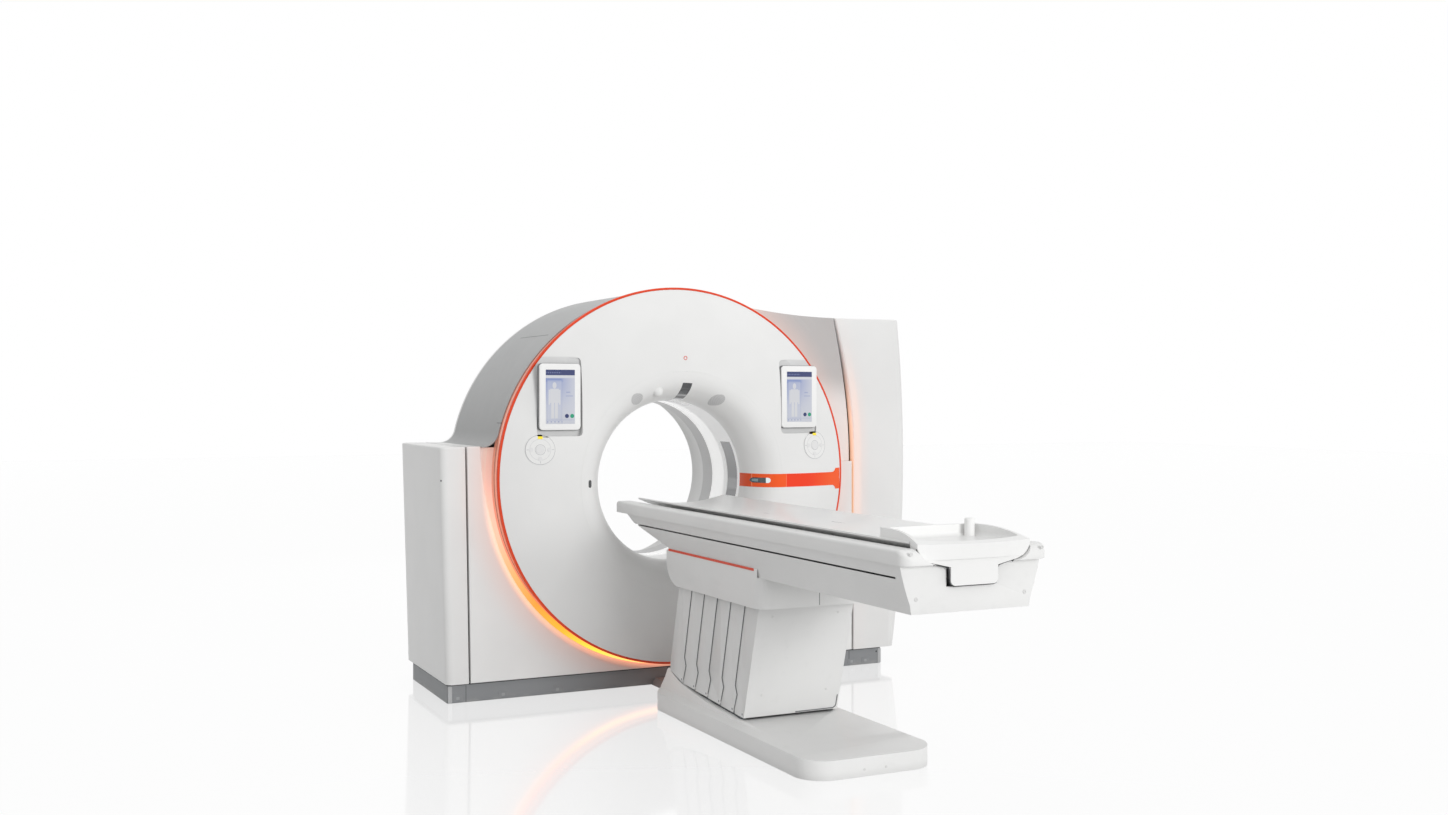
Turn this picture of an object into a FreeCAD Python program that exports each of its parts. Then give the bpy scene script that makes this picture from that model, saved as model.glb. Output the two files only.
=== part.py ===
"""A computed-tomography scanner: gantry with its turning rotor, and a lifting, feeding patient table.

Frame: X to the right seen from the front, Y from the table into the gantry, Z up. The origin lies on
the floor under the middle of the scan plane. All lengths are millimetres. Positions along Y are kept
as distances ahead of the scan plane (towards the table, -Y) or behind it (+Y).
"""

import FreeCAD
import Part

import math
import os
import re

import Sketcher
from FreeCAD import Placement, Rotation, Vector

SIZES = {
    # scan axis, bore and liners
    "iso_height": 1054, "bore_radius": 410, "liner_wall": 4, "lip_ahead": 271,
    "window_ahead": 80, "window_behind": 66, "bore_behind": 183, "film_wall": 1.6,
    "seat_gap": 0.3,
    # front disc
    "ring_rise": 27, "disc_radius": 943.5, "ring_wall": 11.5, "ring_depth": 20, "rim_ahead": 404,
    "face_ahead": 478, "flat_radius": 584, "funnel_radius": 556, "funnel_bend": 115, "cover_wall": 5,
    "roll_step": 3.5, "side_ahead": 345, "light_wall": 10, "light_ahead": 300,
    # camera bulge on the funnel
    "camera_radius": 27, "camera_offset": 134, "camera_ahead": 440, "camera_height": 1509,
    # name band on the disc
    "band_width": 69, "band_flare": 21, "band_wall": 1, "band_corner": 28,
    # tablets and their trays
    "tablet_offset": 660, "tablet_rise": 401, "tablet_width": 210, "tablet_length": 322,
    "tablet_thick": 16, "tablet_ahead": 470, "tablet_corner": 14, "tray_side": 7, "tray_end": 30,
    "tray_ahead": 440, "tray_corner": 20,
    # control pads and keys
    "pad_offset": 758, "pad_rise": 146, "pad_radius": 72.5, "pad_lip": 1, "pad_depth": 12,
    "pad_flange": 79, "centre_key_radius": 20, "side_key_radius": 10, "key_circle": 44,
    "key_gap": 0.2, "key_proud": 1.6, "key_depth": 6, "key_well": 8.5,
    # housing behind the disc
    "drum_step": 1.5, "housing_wall": 4, "drum_behind": 470, "drum_fillet": 80, "sweep_start": 200,
    "sweep_radius": 4200, "sweep_end": 965, "left_rise": 159, "right_rise": 829, "covers_bottom": 95,
    "fascia_ahead": 290, "fascia_depth": 40, "glow_gap": 28.5, "fascia_left_low": 1053,
    "fascia_left_high": 1071, "fascia_corner": 1004, "fascia_sweep": 1989, "fascia_edge": 5,
    "reflector_depth": 26, "reflector_wall": 3,
    "gap_line": 1090, "wing_rise": 49, "gap_line_top": 969, "panel_gap": 10,
    "wing_depth": 90, "wing_cove_radius": 600, "wing_cove_middle": 1080, "wing_cove_depth": 35,
    "wing_wall": 10, "wing_edge": 18,
    "left_low": 1171, "left_high": 1203, "left_edge": 35, "right_low": 1376, "right_high": 1407,
    "right_bulge": 7350, "right_edge": 60, "top_edge": 8, "covers_behind": 500,
    "rear_funnel_radius": 560, "rear_funnel_bend": 110, "rear_depth": 30,
    # plinth and base frame
    "plinth_left": 1160, "plinth_right": 1300, "plinth_ahead": 255, "plinth_behind": 430,
    "plinth_height": 85, "plinth_wall": 3, "plinth_corner": 14, "plate_thick": 15, "beam_height": 80, "beam_width": 60,
    "frame_left": 1130, "frame_right": 1275, "frame_ahead": 225, "frame_behind": 400,
    "rail_top": 160, "rail_left": 1035, "rail_right": 1070,
    "hoop_inner": 900, "hoop_step": 2.8, "hoop_behind": -235, "post_offset": 500, "post_width": 60,
    # rotor
    "stator_ahead": -230, "stator_behind": 270, "stator_inner": 470, "stator_outer": 800,
    "leg_offset": 700, "leg_width": 160, "leg_top": 900,
    "race_inner": 570, "race_radius": 610, "race_outer": 650, "race_fit": 0.05, "race_ahead": -135,
    "race_behind": 215, "rotor_face": 90, "rotor_plate": 40, "rotor_rim": 855, "rim_wall": 15,
    "rim_ahead_end": 150, "hub_inner": 440, "hub_wall": 12, "hub_ahead": 100,
    "lighten_radius": 55, "lighten_circle": 745,
    "focus_height": 610, "tube_centre": 690, "tube_radius": 105, "tube_ahead": 190,
    "detector_near": 1085, "detector_far": 1145, "detector_half": 24, "detector_ahead": 70,
    "unit_inner": 530, "unit_outer": 790, "unit_width": 300, "unit_ahead": 150,
    "slip_inner": 465, "slip_outer": 540, "slip_behind": 165,
    # table base
    "table_half": 300, "table_gantry_end": 760, "table_foot_end": 2273, "table_corner": 120,
    "skirt_height": 82, "shoulder_height": 96, "shoulder_half": 262, "hump_half": 238,
    "hump_height": 200, "base_wall": 4, "plate_end": 2050, "foot_height": 76,
    "well_half": 229, "well_start": 930, "well_end": 1560,
    "duct_half": 90, "duct_top_half": 70, "duct_height": 35,
    # lift links
    "link_height": 520, "link_lean": 12, "pivot_first": 975, "pivot_pitch": 126, "pivot_height": 168,
    "pivot_fall": 10.2, "pivot_last": 1570, "pivot_last_height": 120.5, "pin_radius": 5,
    "pin_fit": 0.1, "plate_wall": 2.5, "plate_step": 3, "plate_outer": 246, "link_rail_half": 225,
    "link_rail_wall": 20, "seam_cover": 12, "plate_head": 14,
    "arm_front": 1160, "arm_rear": 1450, "arm_pivot_height": 160, "arm_offset": 112, "arm_wall": 24,
    "arm_depth": 60, "arm_boss": 35, "shaft_radius": 15, "shaft_fit": 0.05, "bracket_gap": 2,
    "bracket_wall": 12,
    # saddle and table body
    "saddle_half": 265, "saddle_wall": 5, "saddle_gantry_end": 845, "saddle_foot_end": 1800,
    "saddle_bottom": 600, "saddle_top": 768, "saddle_bend": 120, "saddle_corner": 55,
    "saddle_plate": 8, "strip_low": 757, "strip_high": 768, "strip_start": 869, "strip_wall": 1.2,
    "body_bottom": 730, "body_fold": 762, "body_top": 903, "body_half": 299, "body_fold_half": 257,
    "body_bottom_half": 252, "body_foot_end": 2905, "body_gantry_end": 430, "body_wall": 4,
    "groove_height": 855, "groove_width": 7, "groove_depth": 3,
    "bow_high_end": 500, "bow_high": 862, "bow_low_end": 850, "bow_low": 772, "bow_bottom_end": 930,
    "rim_half": 312, "rim_top": 958, "rim_roll": 12, "rim_foot_end": 2945, "rim_gantry_end": 293,
    "valley_half": 244, "valley_inner": 171, "valley_bend": 90, "valley_floor": 888,
    "channel_half": 106, "channel_floor": 820, "rim_bridge": 120, "rim_corner": 45,
    "rail_offset": 110, "rail_wall": 14, "rail_height": 842,
    # cradle and foot tray
    "cradle_half": 234, "cradle_top": 980, "cradle_edge": 8, "cradle_dip": 946, "cradle_under": 918,
    "cradle_gantry_end": 424, "cradle_foot_end": 2860, "carriage_start": 2600, "carriage_half": 96,
    "tray_back": 2634, "tray_front": 2926, "tray_back_half": 207, "tray_front_half": 240,
    "tray_top": 1010, "tray_wall": 22, "tray_floor": 968, "apron_thick": 14, "tab_half": 101,
    "tab_bottom": 824, "tab_roll": 20, "apron_half": 168, "peg_radius": 19, "peg_top": 1035,
    "feed_travel": 1700,
}

# Sizes that follow others, so that what fits together stays together when one of them changes.
LINKED = {
    "ring_height": "iso_height + ring_rise",
    "side_radius": "disc_radius - roll_step",
    "ring_radius": "disc_radius + ring_wall",
    "drum_radius": "disc_radius + drum_step",
    "hoop_flange": "disc_radius - hoop_step",
    "fascia_circle": "disc_radius + glow_gap",
    "left_top": "ring_height + left_rise",
    "right_top": "ring_height + right_rise",
    "wing_bottom": "ring_height + wing_rise",
    "band_low": "ring_height - band_width",
    "band_high": "ring_height",
    "tablet_height": "ring_height + tablet_rise",
    "pad_height": "ring_height + pad_rise",
}

DOC = FreeCAD.newDocument("ct_scanner")
SHEET = DOC.addObject("Spreadsheet::Sheet", "Sizes")
PARTS = []

WORD = re.compile(r"\b(" + "|".join(sorted(SIZES, key=len, reverse=True)) + r")\b")
LINK = re.compile(r"\b(" + "|".join(LINKED) + r")\b")


def fill_sheet():
    """Write every driving dimension to the spreadsheet under its own name."""
    for row, (name, size) in enumerate(SIZES.items(), start=1):
        SHEET.set("A%d" % row, name)
        SHEET.set("B%d" % row, str(size))
        SHEET.setAlias("B%d" % row, name)
    DOC.recompute()


def bound(expression):
    """The expression with linked sizes written out and each size's name pointing into the sheet."""
    text = str(expression)
    while LINK.search(text):
        text = LINK.sub(lambda name: f"({LINKED[name.group(1)]})", text)
    return WORD.sub(r"Sizes.\1", text)


def number(expression):
    """What an expression over the named sizes comes to now."""
    answer = SHEET.evalExpression(bound(expression))
    return float(getattr(answer, "Value", answer))


def tie(thing, **properties):
    """Bind properties of an object to expressions; a double underscore stands for a dot."""
    for name, expression in properties.items():
        thing.setExpression(name.replace("__", "."), bound(expression))


def place(thing, across="0", along="0", up="0"):
    """Bind where an object stands."""
    tie(thing, Placement__Base__x=across, Placement__Base__y=along, Placement__Base__z=up)
    return thing


def finished(name, thing):
    """Take an object as a sub-part of the scanner under its own name."""
    thing.Label = name
    PARTS.append(thing)
    return thing


# ---------------------------------------------------------------- plain solids and booleans

def block(name, left, right, ahead, behind, low, high):
    """A box between two limits along each axis (ahead counts towards -Y)."""
    box = DOC.addObject("Part::Box", name)
    tie(box, Length=f"({right}) - ({left})", Width=f"({ahead}) + ({behind})",
        Height=f"({high}) - ({low})")
    return place(box, left, f"-({ahead})", low)


def rod(name, radius, ahead, behind, across="0", up="iso_height"):
    """A cylinder along Y."""
    bar = DOC.addObject("Part::Cylinder", name)
    bar.Placement.Rotation = Rotation(Vector(1, 0, 0), -90)
    tie(bar, Radius=radius, Height=f"({ahead}) + ({behind})")
    return place(bar, across, f"-({ahead})", up)


def tube(name, outer, inner, ahead, behind, up="iso_height"):
    """A round tube along Y."""
    return cut(name, rod(name + "_outer", outer, ahead, behind, up=up),
               rod(name + "_inner", inner, f"({ahead}) + 5", f"({behind}) + 5", up=up))


def pin(name, radius, left, right, ahead, up):
    """A cylinder along X."""
    bar = DOC.addObject("Part::Cylinder", name)
    bar.Placement.Rotation = Rotation(Vector(0, 1, 0), 90)
    tie(bar, Radius=radius, Height=f"({right}) - ({left})")
    return place(bar, left, f"-({ahead})", up)


def joined(kind, name, things):
    """One boolean of several objects."""
    result = DOC.addObject(kind, name)
    result.Shapes = list(things)
    return result


def fuse(name, *things):
    return joined("Part::MultiFuse", name, things)


def common(name, *things):
    return joined("Part::MultiCommon", name, things)


def cut(name, base, *tools):
    """The base without the tools."""
    result = DOC.addObject("Part::Cut", name)
    result.Base = base
    result.Tool = tools[0] if len(tools) == 1 else fuse(name + "_tools", *tools)
    return result


def mirrored(name, thing):
    """The object's twin across the middle plane X = 0."""
    twin = DOC.addObject("Part::Mirroring", name)
    twin.Source = thing
    twin.Normal = Vector(1, 0, 0)
    return twin


def both_sides(name, thing):
    """The object together with its twin across X = 0."""
    pair = DOC.addObject("Part::Compound", name)
    pair.Links = [thing, mirrored(name + "_twin", thing)]
    return pair


def rounded(name, base, radius, chosen):
    """The base with the edges picked by a test on each edge rounded."""
    DOC.recompute()
    size = number(radius)
    picks = [(index, size, size) for index, edge in enumerate(base.Shape.Edges, start=1) if chosen(edge)]
    result = DOC.addObject("Part::Fillet", name)
    result.Base = base
    result.Edges = picks
    return result


def lies_at(edge, axis, place_value):
    """Whether the whole edge lies at one coordinate along an axis."""
    box = edge.BoundBox
    low, high = {"x": (box.XMin, box.XMax), "y": (box.YMin, box.YMax), "z": (box.ZMin, box.ZMax)}[axis]
    return abs(low - place_value) < 0.01 and abs(high - place_value) < 0.01


# ---------------------------------------------------------------- sketches

def arc_centre(start, end, radius, turn):
    """Centre of the shorter arc from start to end; turn is 1 anticlockwise and -1 clockwise."""
    across, up = end[0] - start[0], end[1] - start[1]
    chord = math.hypot(across, up)
    away = turn * math.sqrt(max(radius ** 2 - chord ** 2 / 4, 0)) / chord
    return Vector((start[0] + end[0]) / 2 - up * away, (start[1] + end[1]) / 2 + across * away, 0)


def draw(sketch, outline):
    """Draw a closed outline: (x, y) ends a straight side, (x, y, radius, turn) an arc."""
    points = [(number(step[0]), number(step[1])) for step in outline]
    shapes, ends = [], []
    for index, step in enumerate(outline):
        start, end = points[index - 1], points[index]
        if len(step) == 2:
            shapes.append(Part.LineSegment(Vector(*start, 0), Vector(*end, 0)))
            ends.append((1, 2))
            continue
        centre = arc_centre(start, end, number(step[2]), step[3])
        first, last = (start, end) if step[3] > 0 else (end, start)
        angles = [math.atan2(y - centre.y, x - centre.x) for x, y in (first, last)]
        circle = Part.Circle(centre, Vector(0, 0, 1), number(step[2]))
        shapes.append(Part.ArcOfCircle(circle, angles[0], angles[1]))
        ends.append((1, 2) if step[3] > 0 else (2, 1))
    sketch.addGeometry(shapes, False)
    rules, ties = [], []
    for index, step in enumerate(outline):
        after = (index + 1) % len(outline)
        rules.append(Sketcher.Constraint("Coincident", index, ends[index][1], after, ends[after][0]))
        for kind, axis, size, expression in (("DistanceX", -2, points[index][0], step[0]),
                                             ("DistanceY", -1, points[index][1], step[1])):
            if abs(size) < 1e-9:
                rules.append(Sketcher.Constraint("PointOnObject", index, ends[index][1], axis))
                continue
            ties.append((len(rules), expression))
            rules.append(Sketcher.Constraint(kind, index, ends[index][1], size))
        if len(step) == 4:
            ties.append((len(rules), step[2]))
            rules.append(Sketcher.Constraint("Radius", index, number(step[2])))
    sketch.addConstraint(rules)
    for index, expression in ties:
        sketch.setExpression("Constraints[%d]" % index, bound(expression))


PLANES = {"XY": "XY_Plane", "XZ": "XZ_Plane", "YZ": "YZ_Plane"}


def sketched_body(name, plane, outline, offset="0"):
    """A body with one sketch on a plane parallel to an origin plane."""
    body = DOC.addObject("PartDesign::Body", name)
    sketch = body.newObject("Sketcher::SketchObject", name + "_outline")
    origin = [feature for feature in body.Origin.OriginFeatures if feature.Role == PLANES[plane]][0]
    sketch.AttachmentSupport = [(origin, "")]
    sketch.MapMode = "FlatFace"
    draw(sketch, outline)
    tie(sketch, AttachmentOffset__Base__z=offset)
    return body, sketch


def padded(name, plane, outline, low, high):
    """An outline pushed along its plane's axis from low to high (along Y both are distances ahead)."""
    offset, length = (high, f"({low}) - ({high})") if plane == "XZ" else (low, f"({high}) - ({low})")
    body, sketch = sketched_body(name, plane, outline, offset)
    pad = body.newObject("PartDesign::Pad", name + "_pad")
    pad.Profile = sketch
    tie(pad, Length=length)
    return body


def panel(name, outline, ahead, behind):
    """An outline in X and Z pushed from a distance ahead of the scan plane to one behind it."""
    return padded(name, "XZ", outline, ahead, f"-({behind})")


def turned(name, outline, height="iso_height"):
    """An outline in Y and radius turned about a line along Y at a height."""
    body, sketch = sketched_body(name, "YZ", outline)
    revolution = body.newObject("PartDesign::Revolution", name + "_turn")
    revolution.Profile = sketch
    revolution.ReferenceAxis = (sketch, ["H_Axis"])
    revolution.Angle = 360
    return place(body, up=height)


def inset(name, outline, wall, ahead, behind):
    """The inside of a panel: its outline moved in by the wall, pushed along Y."""
    sketch = DOC.addObject("Sketcher::SketchObject", name + "_outline")
    sketch.Placement.Rotation = Rotation(Vector(1, 0, 0), 90)
    draw(sketch, outline)
    tie(sketch, Placement__Base__y=f"-({ahead})")
    offset = DOC.addObject("Part::Offset2D", name + "_offset")
    offset.Source = sketch
    tie(offset, Value=f"-({wall})")
    extrusion = DOC.addObject("Part::Extrusion", name)
    extrusion.Base = offset
    extrusion.DirMode = "Custom"
    extrusion.Dir = Vector(0, 1, 0)
    extrusion.Solid = True
    tie(extrusion, LengthFwd=f"({ahead}) + ({behind})")
    return extrusion


# ---------------------------------------------------------------- shared forms of the gantry

def bend_of_entry(reach, drop, bend):
    """Radius of the second arc of a funnel mouth, tangent to the first and to the bore."""
    return f"((({reach} - {bend})^2 + ({drop})^2 - ({bend})^2) / (2 * ({drop} - {bend})))"


DOME = "(((disc_radius - flat_radius)^2 + (face_ahead - rim_ahead)^2) / (2 * (face_ahead - rim_ahead)))"
ENTRY = bend_of_entry("(face_ahead - lip_ahead)", "(funnel_radius - bore_radius)", "funnel_bend")
EXIT = bend_of_entry("(covers_behind - bore_behind)", "(rear_funnel_radius - bore_radius)",
                     "rear_funnel_bend")


def funnel(name, skin, wall):
    """The mouth from the disc's face to the bore, a wall thick, its seen side a skin outside the face."""
    reach = "(face_ahead - lip_ahead - funnel_bend)"
    drop = f"({ENTRY} - (funnel_radius - bore_radius))"
    share = f"(({ENTRY} + {{0}}) / ({ENTRY} - funnel_bend))"
    seen, hidden = share.format(skin), share.format(f"({skin}) - ({wall})")
    return turned(name, [
        (f"-face_ahead - ({skin})", "funnel_radius"),
        (f"-lip_ahead - {reach} * {seen}", f"bore_radius + {ENTRY} - {drop} * {seen}",
         f"funnel_bend + ({skin})", 1),
        ("-lip_ahead", f"bore_radius - ({skin})", f"{ENTRY} + ({skin})", 1),
        ("-lip_ahead", f"bore_radius - ({skin}) + ({wall})"),
        (f"-lip_ahead - {reach} * {hidden}", f"bore_radius + {ENTRY} - {drop} * {hidden}",
         f"{ENTRY} + ({skin}) - ({wall})", -1),
        (f"-face_ahead - ({skin}) + ({wall})", "funnel_radius",
         f"funnel_bend + ({skin}) - ({wall})", -1),
    ])


def dome_along(radius, skin="0"):
    """Where the dome's surface, moved out by a skin, lies along Y at a radius."""
    return f"({DOME} - face_ahead - sqrt(({DOME} + {skin})^2 - ({radius} - flat_radius)^2))"


def dome_block(name, skin="0", back="rim_ahead - ring_depth"):
    """The disc as a full block out to its rim."""
    return turned(name, [
        (f"-face_ahead - ({skin})", "0"),
        (f"-face_ahead - ({skin})", "flat_radius"),
        (dome_along("disc_radius", skin), "disc_radius", f"{DOME} + ({skin})", -1),
        (f"-({back})", "disc_radius"),
        (f"-({back})", "0"),
    ], "ring_height")


FILLET_ACROSS = ("sqrt((drum_radius + drum_fillet)^2 - (left_top + drum_fillet - ring_height)^2)")
FILLET_SHARE = "(drum_radius / (drum_radius + drum_fillet))"
SWEEP_SHARE = "((drum_radius - {0}) / drum_radius)"


def housing_top(wall="0"):
    """The housing's top line from the left cabinet over the drum to the right cabinet, moved in."""
    share = f"((drum_radius - {wall}) / (drum_radius + drum_fillet))"
    start_up = "sqrt(drum_radius^2 - sweep_start^2)"
    fit = f"((drum_radius - {wall}) / drum_radius)"
    return [
        (f"-{FILLET_ACROSS}", f"left_top - {wall}"),
        (f"-{FILLET_ACROSS} * {share}",
         f"ring_height + (left_top + drum_fillet - ring_height) * {share}",
         f"drum_fillet + {wall}", 1),
        (f"sweep_start * {fit}", f"ring_height + {start_up} * {fit}", f"drum_radius - {wall}", -1),
        ("sweep_end", f"right_top - {wall}", f"sweep_radius + {wall}", 1),
    ]


GAP_SWEEP = ("(((right_top - wing_bottom)^2 + (gap_line - gap_line_top)^2)"
             " / (2 * (gap_line - gap_line_top)))")


# ---------------------------------------------------------------- front disc and what it carries

def front_cover():
    """The domed front disc with its funnel, its rolled rim, the tablet trays and the pad holes."""
    hidden = f"({DOME} - cover_wall)"
    inner = "(side_radius - cover_wall)"
    shell = turned("disc_shell", [
        ("-face_ahead", "bore_radius"),
        ("-face_ahead", "flat_radius"),
        ("-rim_ahead", "disc_radius", DOME, -1),
        ("-(rim_ahead - ring_depth)", "disc_radius"),
        ("-(rim_ahead - ring_depth)", "side_radius"),
        ("-side_ahead", "side_radius"),
        ("-side_ahead", inner),
        (f"{DOME} - face_ahead - sqrt({hidden}^2 - ({inner} - flat_radius)^2)", inner),
        ("cover_wall - face_ahead", "flat_radius", hidden, 1),
        ("cover_wall - face_ahead", "bore_radius"),
    ], "ring_height")
    mouth = rod("disc_mouth", "funnel_radius + seat_gap", "face_ahead + 5", "-side_ahead")
    pockets = common("tray_pockets", both_sides("pocket_pair", tray_block("pocket", "0", "tray_ahead")),
                     rod("pocket_limit", "disc_radius - 12", "face_ahead + 20", "0", up="ring_height"))
    trays = common("tray_boxes",
                   both_sides("tray_pair", tray_block("tray", "cover_wall", "tray_ahead - cover_wall")),
                   rod("tray_limit", "disc_radius - 7", "face_ahead + 20", "0", up="ring_height"),
                   dome_block("tray_front"))
    holes = both_sides("pad_holes", along_pad("pad_hole", "pad_radius + seat_gap", "-2 * pad_depth",
                                              "pad_depth"))
    whole = fuse("disc_whole", cut("disc_open", shell, mouth), trays)
    finished("front_cover", cut("front_disc", whole, pockets, holes))


def front_funnel():
    """The moulded mouth of the bore, butted against the disc, with its camera bulge."""
    finished("front_funnel", fuse("mouth_with_camera", funnel("disc_funnel", "0", "cover_wall"),
                                  camera_bulge()))


def camera_bulge():
    """The small domed bulge on the funnel, left of its top, cut off behind the funnel's face."""
    ball = DOC.addObject("Part::Sphere", "camera_ball")
    tie(ball, Radius="camera_radius")
    place(ball, "-camera_offset", "-camera_ahead", "camera_height")
    keep = cut("camera_keep", rod("camera_field", "funnel_radius - 20", "face_ahead + 20", "-lip_ahead"),
               rod("camera_bore", "bore_radius + 8", "face_ahead + 30", "0"))
    return common("camera_dome", ball, keep)


def tray_block(name, grow, floor):
    """The block of one tablet tray: the tablet's outline with its margins, from the floor forward."""
    half = f"(tablet_width / 2 + tray_side + {grow})"
    high = f"(tablet_length / 2 + tray_end + {grow})"
    bend = f"(tray_corner + {grow})"
    return panel(name, frame_outline("tablet_offset", "tablet_height", half, high, bend),
                 "face_ahead + 30", f"-({floor})")


def frame_outline(across, up, half, high, bend):
    """A rectangle about a centre with rounded corners."""
    left, right = f"-({across}) - {half}", f"-({across}) + {half}"
    low, top = f"{up} - {high}", f"{up} + {high}"
    return [
        (f"{left} + {bend}", low, bend, 1), (f"{right} - {bend}", low),
        (right, f"{low} + {bend}", bend, 1), (right, f"{top} - {bend}"),
        (f"{right} - {bend}", top, bend, 1), (f"{left} + {bend}", top),
        (left, f"{top} - {bend}", bend, 1), (left, f"{low} + {bend}"),
    ]


def pad_frame(across="0", up="0"):
    """Centre and outward direction of the left control pad, moved across its own plane."""
    offset, rise = -number("pad_offset"), number("pad_height - ring_height")
    radius = math.hypot(offset, rise)
    slope = (radius - number("flat_radius")) / number(DOME)
    outward = Vector(slope * offset / radius, -math.sqrt(1 - slope ** 2), slope * rise / radius)
    centre = Vector(offset, number(dome_along(str(radius))), number("pad_height"))
    sideways = Vector(0, 0, 1).cross(outward).normalize()
    upward = outward.cross(sideways)
    return centre - sideways * number(across) + upward * number(up), outward


def along_pad(name, radius, low, high, across="0", up="0"):
    """A cylinder square to the left pad, from a depth to a height over the disc."""
    centre, outward = pad_frame(across, up)
    bar = DOC.addObject("Part::Cylinder", name)
    tie(bar, Radius=radius, Height=f"({high}) - ({low})")
    bar.Placement = Placement(centre + outward * number(low), Rotation(Vector(0, 0, 1), outward))
    return bar


KEYS = (("centre_key", "centre_key_radius", "0", "0"), ("left_key", "side_key_radius", "-key_circle", "0"),
        ("right_key", "side_key_radius", "key_circle", "0"),
        ("low_key", "side_key_radius", "0", "-key_circle"))


def control_pads():
    """Two round pads held in the disc by their flanges, each with four sprung keys."""
    plate = fuse("pad_plate", along_pad("pad_face", "pad_radius", "-pad_depth", "pad_lip"),
                 along_pad("pad_foot", "pad_flange", "-pad_depth", "seat_gap - pad_depth + 3"))
    wells = [along_pad(name + "_well", f"{radius} + key_gap", "-key_well", "pad_lip + 5", across, up)
             for name, radius, across, up in KEYS]
    relief = tray_block("pad_relief", "cover_wall + seat_gap", "tray_ahead - cover_wall - seat_gap")
    finished("control_pads", both_sides("pad_pair", cut("pad_holed", plate, relief, *wells)))
    for name, radius, across, up in KEYS:
        key = along_pad("pad_" + name, radius, "-key_depth", "pad_lip + key_proud", across, up)
        finished("left_pad_" + name, key)
        finished("right_pad_" + name, mirrored("mirror_" + name, key))


def accent_ring():
    finished("accent_ring", tube("orange_ring", "ring_radius", "disc_radius + seat_gap", "rim_ahead",
                                 "ring_depth - rim_ahead", "ring_height"))


def light_ring():
    """The light guide behind the disc's rolled side, over the hoop that carries it."""
    finished("light_ring", tube("light_guide", "side_radius - 1", "side_radius - 1 - light_wall",
                                "side_ahead - seat_gap", "-light_ahead", "ring_height"))


def name_band():
    """The orange stripe laid on the disc from the bore's lip to the ring, flared at the ring."""
    flare = "(side_radius - band_corner - 4)"
    outline = [
        ("bore_radius - 40", "band_low"),
        (f"{flare} - band_corner", "band_low"),
        (f"{flare}", "band_low - band_flare", "band_corner", -1),
        ("side_radius", "band_low - band_flare"),
        ("side_radius", "band_high + band_flare"),
        (f"{flare}", "band_high + band_flare"),
        (f"{flare} - band_corner", "band_high", "band_corner", -1),
        ("bore_radius - 40", "band_high"),
    ]
    skin = cut("band_dome", dome_block("band_outer", "(band_wall + seat_gap)"),
               dome_block("band_inner", "seat_gap", "0"),
               rod("band_mouth", "funnel_radius", "face_ahead + 20", "0"))
    swept = fuse("band_skin", skin, funnel("band_funnel", "(band_wall + seat_gap)", "band_wall"))
    limit = rod("band_limit", "disc_radius - 0.5", "face_ahead + 20", "0", up="ring_height")
    finished("name_band", common("band_piece", swept, limit,
                                 panel("band_block", outline, "face_ahead + 15", "-(lip_ahead + 2)")))


def tablets():
    """Two touch tablets docked in their trays."""
    half, high = "(tablet_width / 2)", "(tablet_length / 2)"
    slab = panel("tablet_slab", frame_outline("tablet_offset", "tablet_height", half, high,
                                              "tablet_corner"),
                 "tablet_ahead", "tablet_thick - tablet_ahead")
    slab = rounded("tablet_soft", slab, "3", lambda edge: lies_at(edge, "y", -number("tablet_ahead")))
    dock = block("tablet_dock", "-tablet_offset - 55", "-tablet_offset + 55",
                 "tablet_ahead - tablet_thick", "-(tray_ahead + seat_gap)",
                 "tablet_height - 70", "tablet_height + 70")
    finished("tablets", both_sides("tablet_pair", fuse("tablet_docked", slab, dock)))


# ---------------------------------------------------------------- housing

def drum_cover():
    """The bent sheet over the rotor: up from the left cabinet, round the drum, down to the right."""
    outer = housing_top()
    inner = housing_top("housing_wall")[::-1]
    bends = [step[2:] for step in inner]
    back = [inner[0][:2]] + [inner[index][:2] + (bends[index - 1][0], -bends[index - 1][1])
                             for index in range(1, 4)]
    sheet = panel("drum_sheet", outer + back, "light_ahead - seat_gap", "drum_behind")
    wing_room = cut("drum_notch", block("drum_notch_block", "sweep_start", "gap_line",
                                        "light_ahead + 10", "wing_depth + seat_gap - fascia_ahead",
                                        "ring_height", "ring_height + ring_radius"),
                    rod("drum_keep", "fascia_circle - seat_gap", "light_ahead + 20", "0",
                        up="ring_height"))
    finished("drum_cover", cut("drum_notched", sheet, wing_room))


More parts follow.
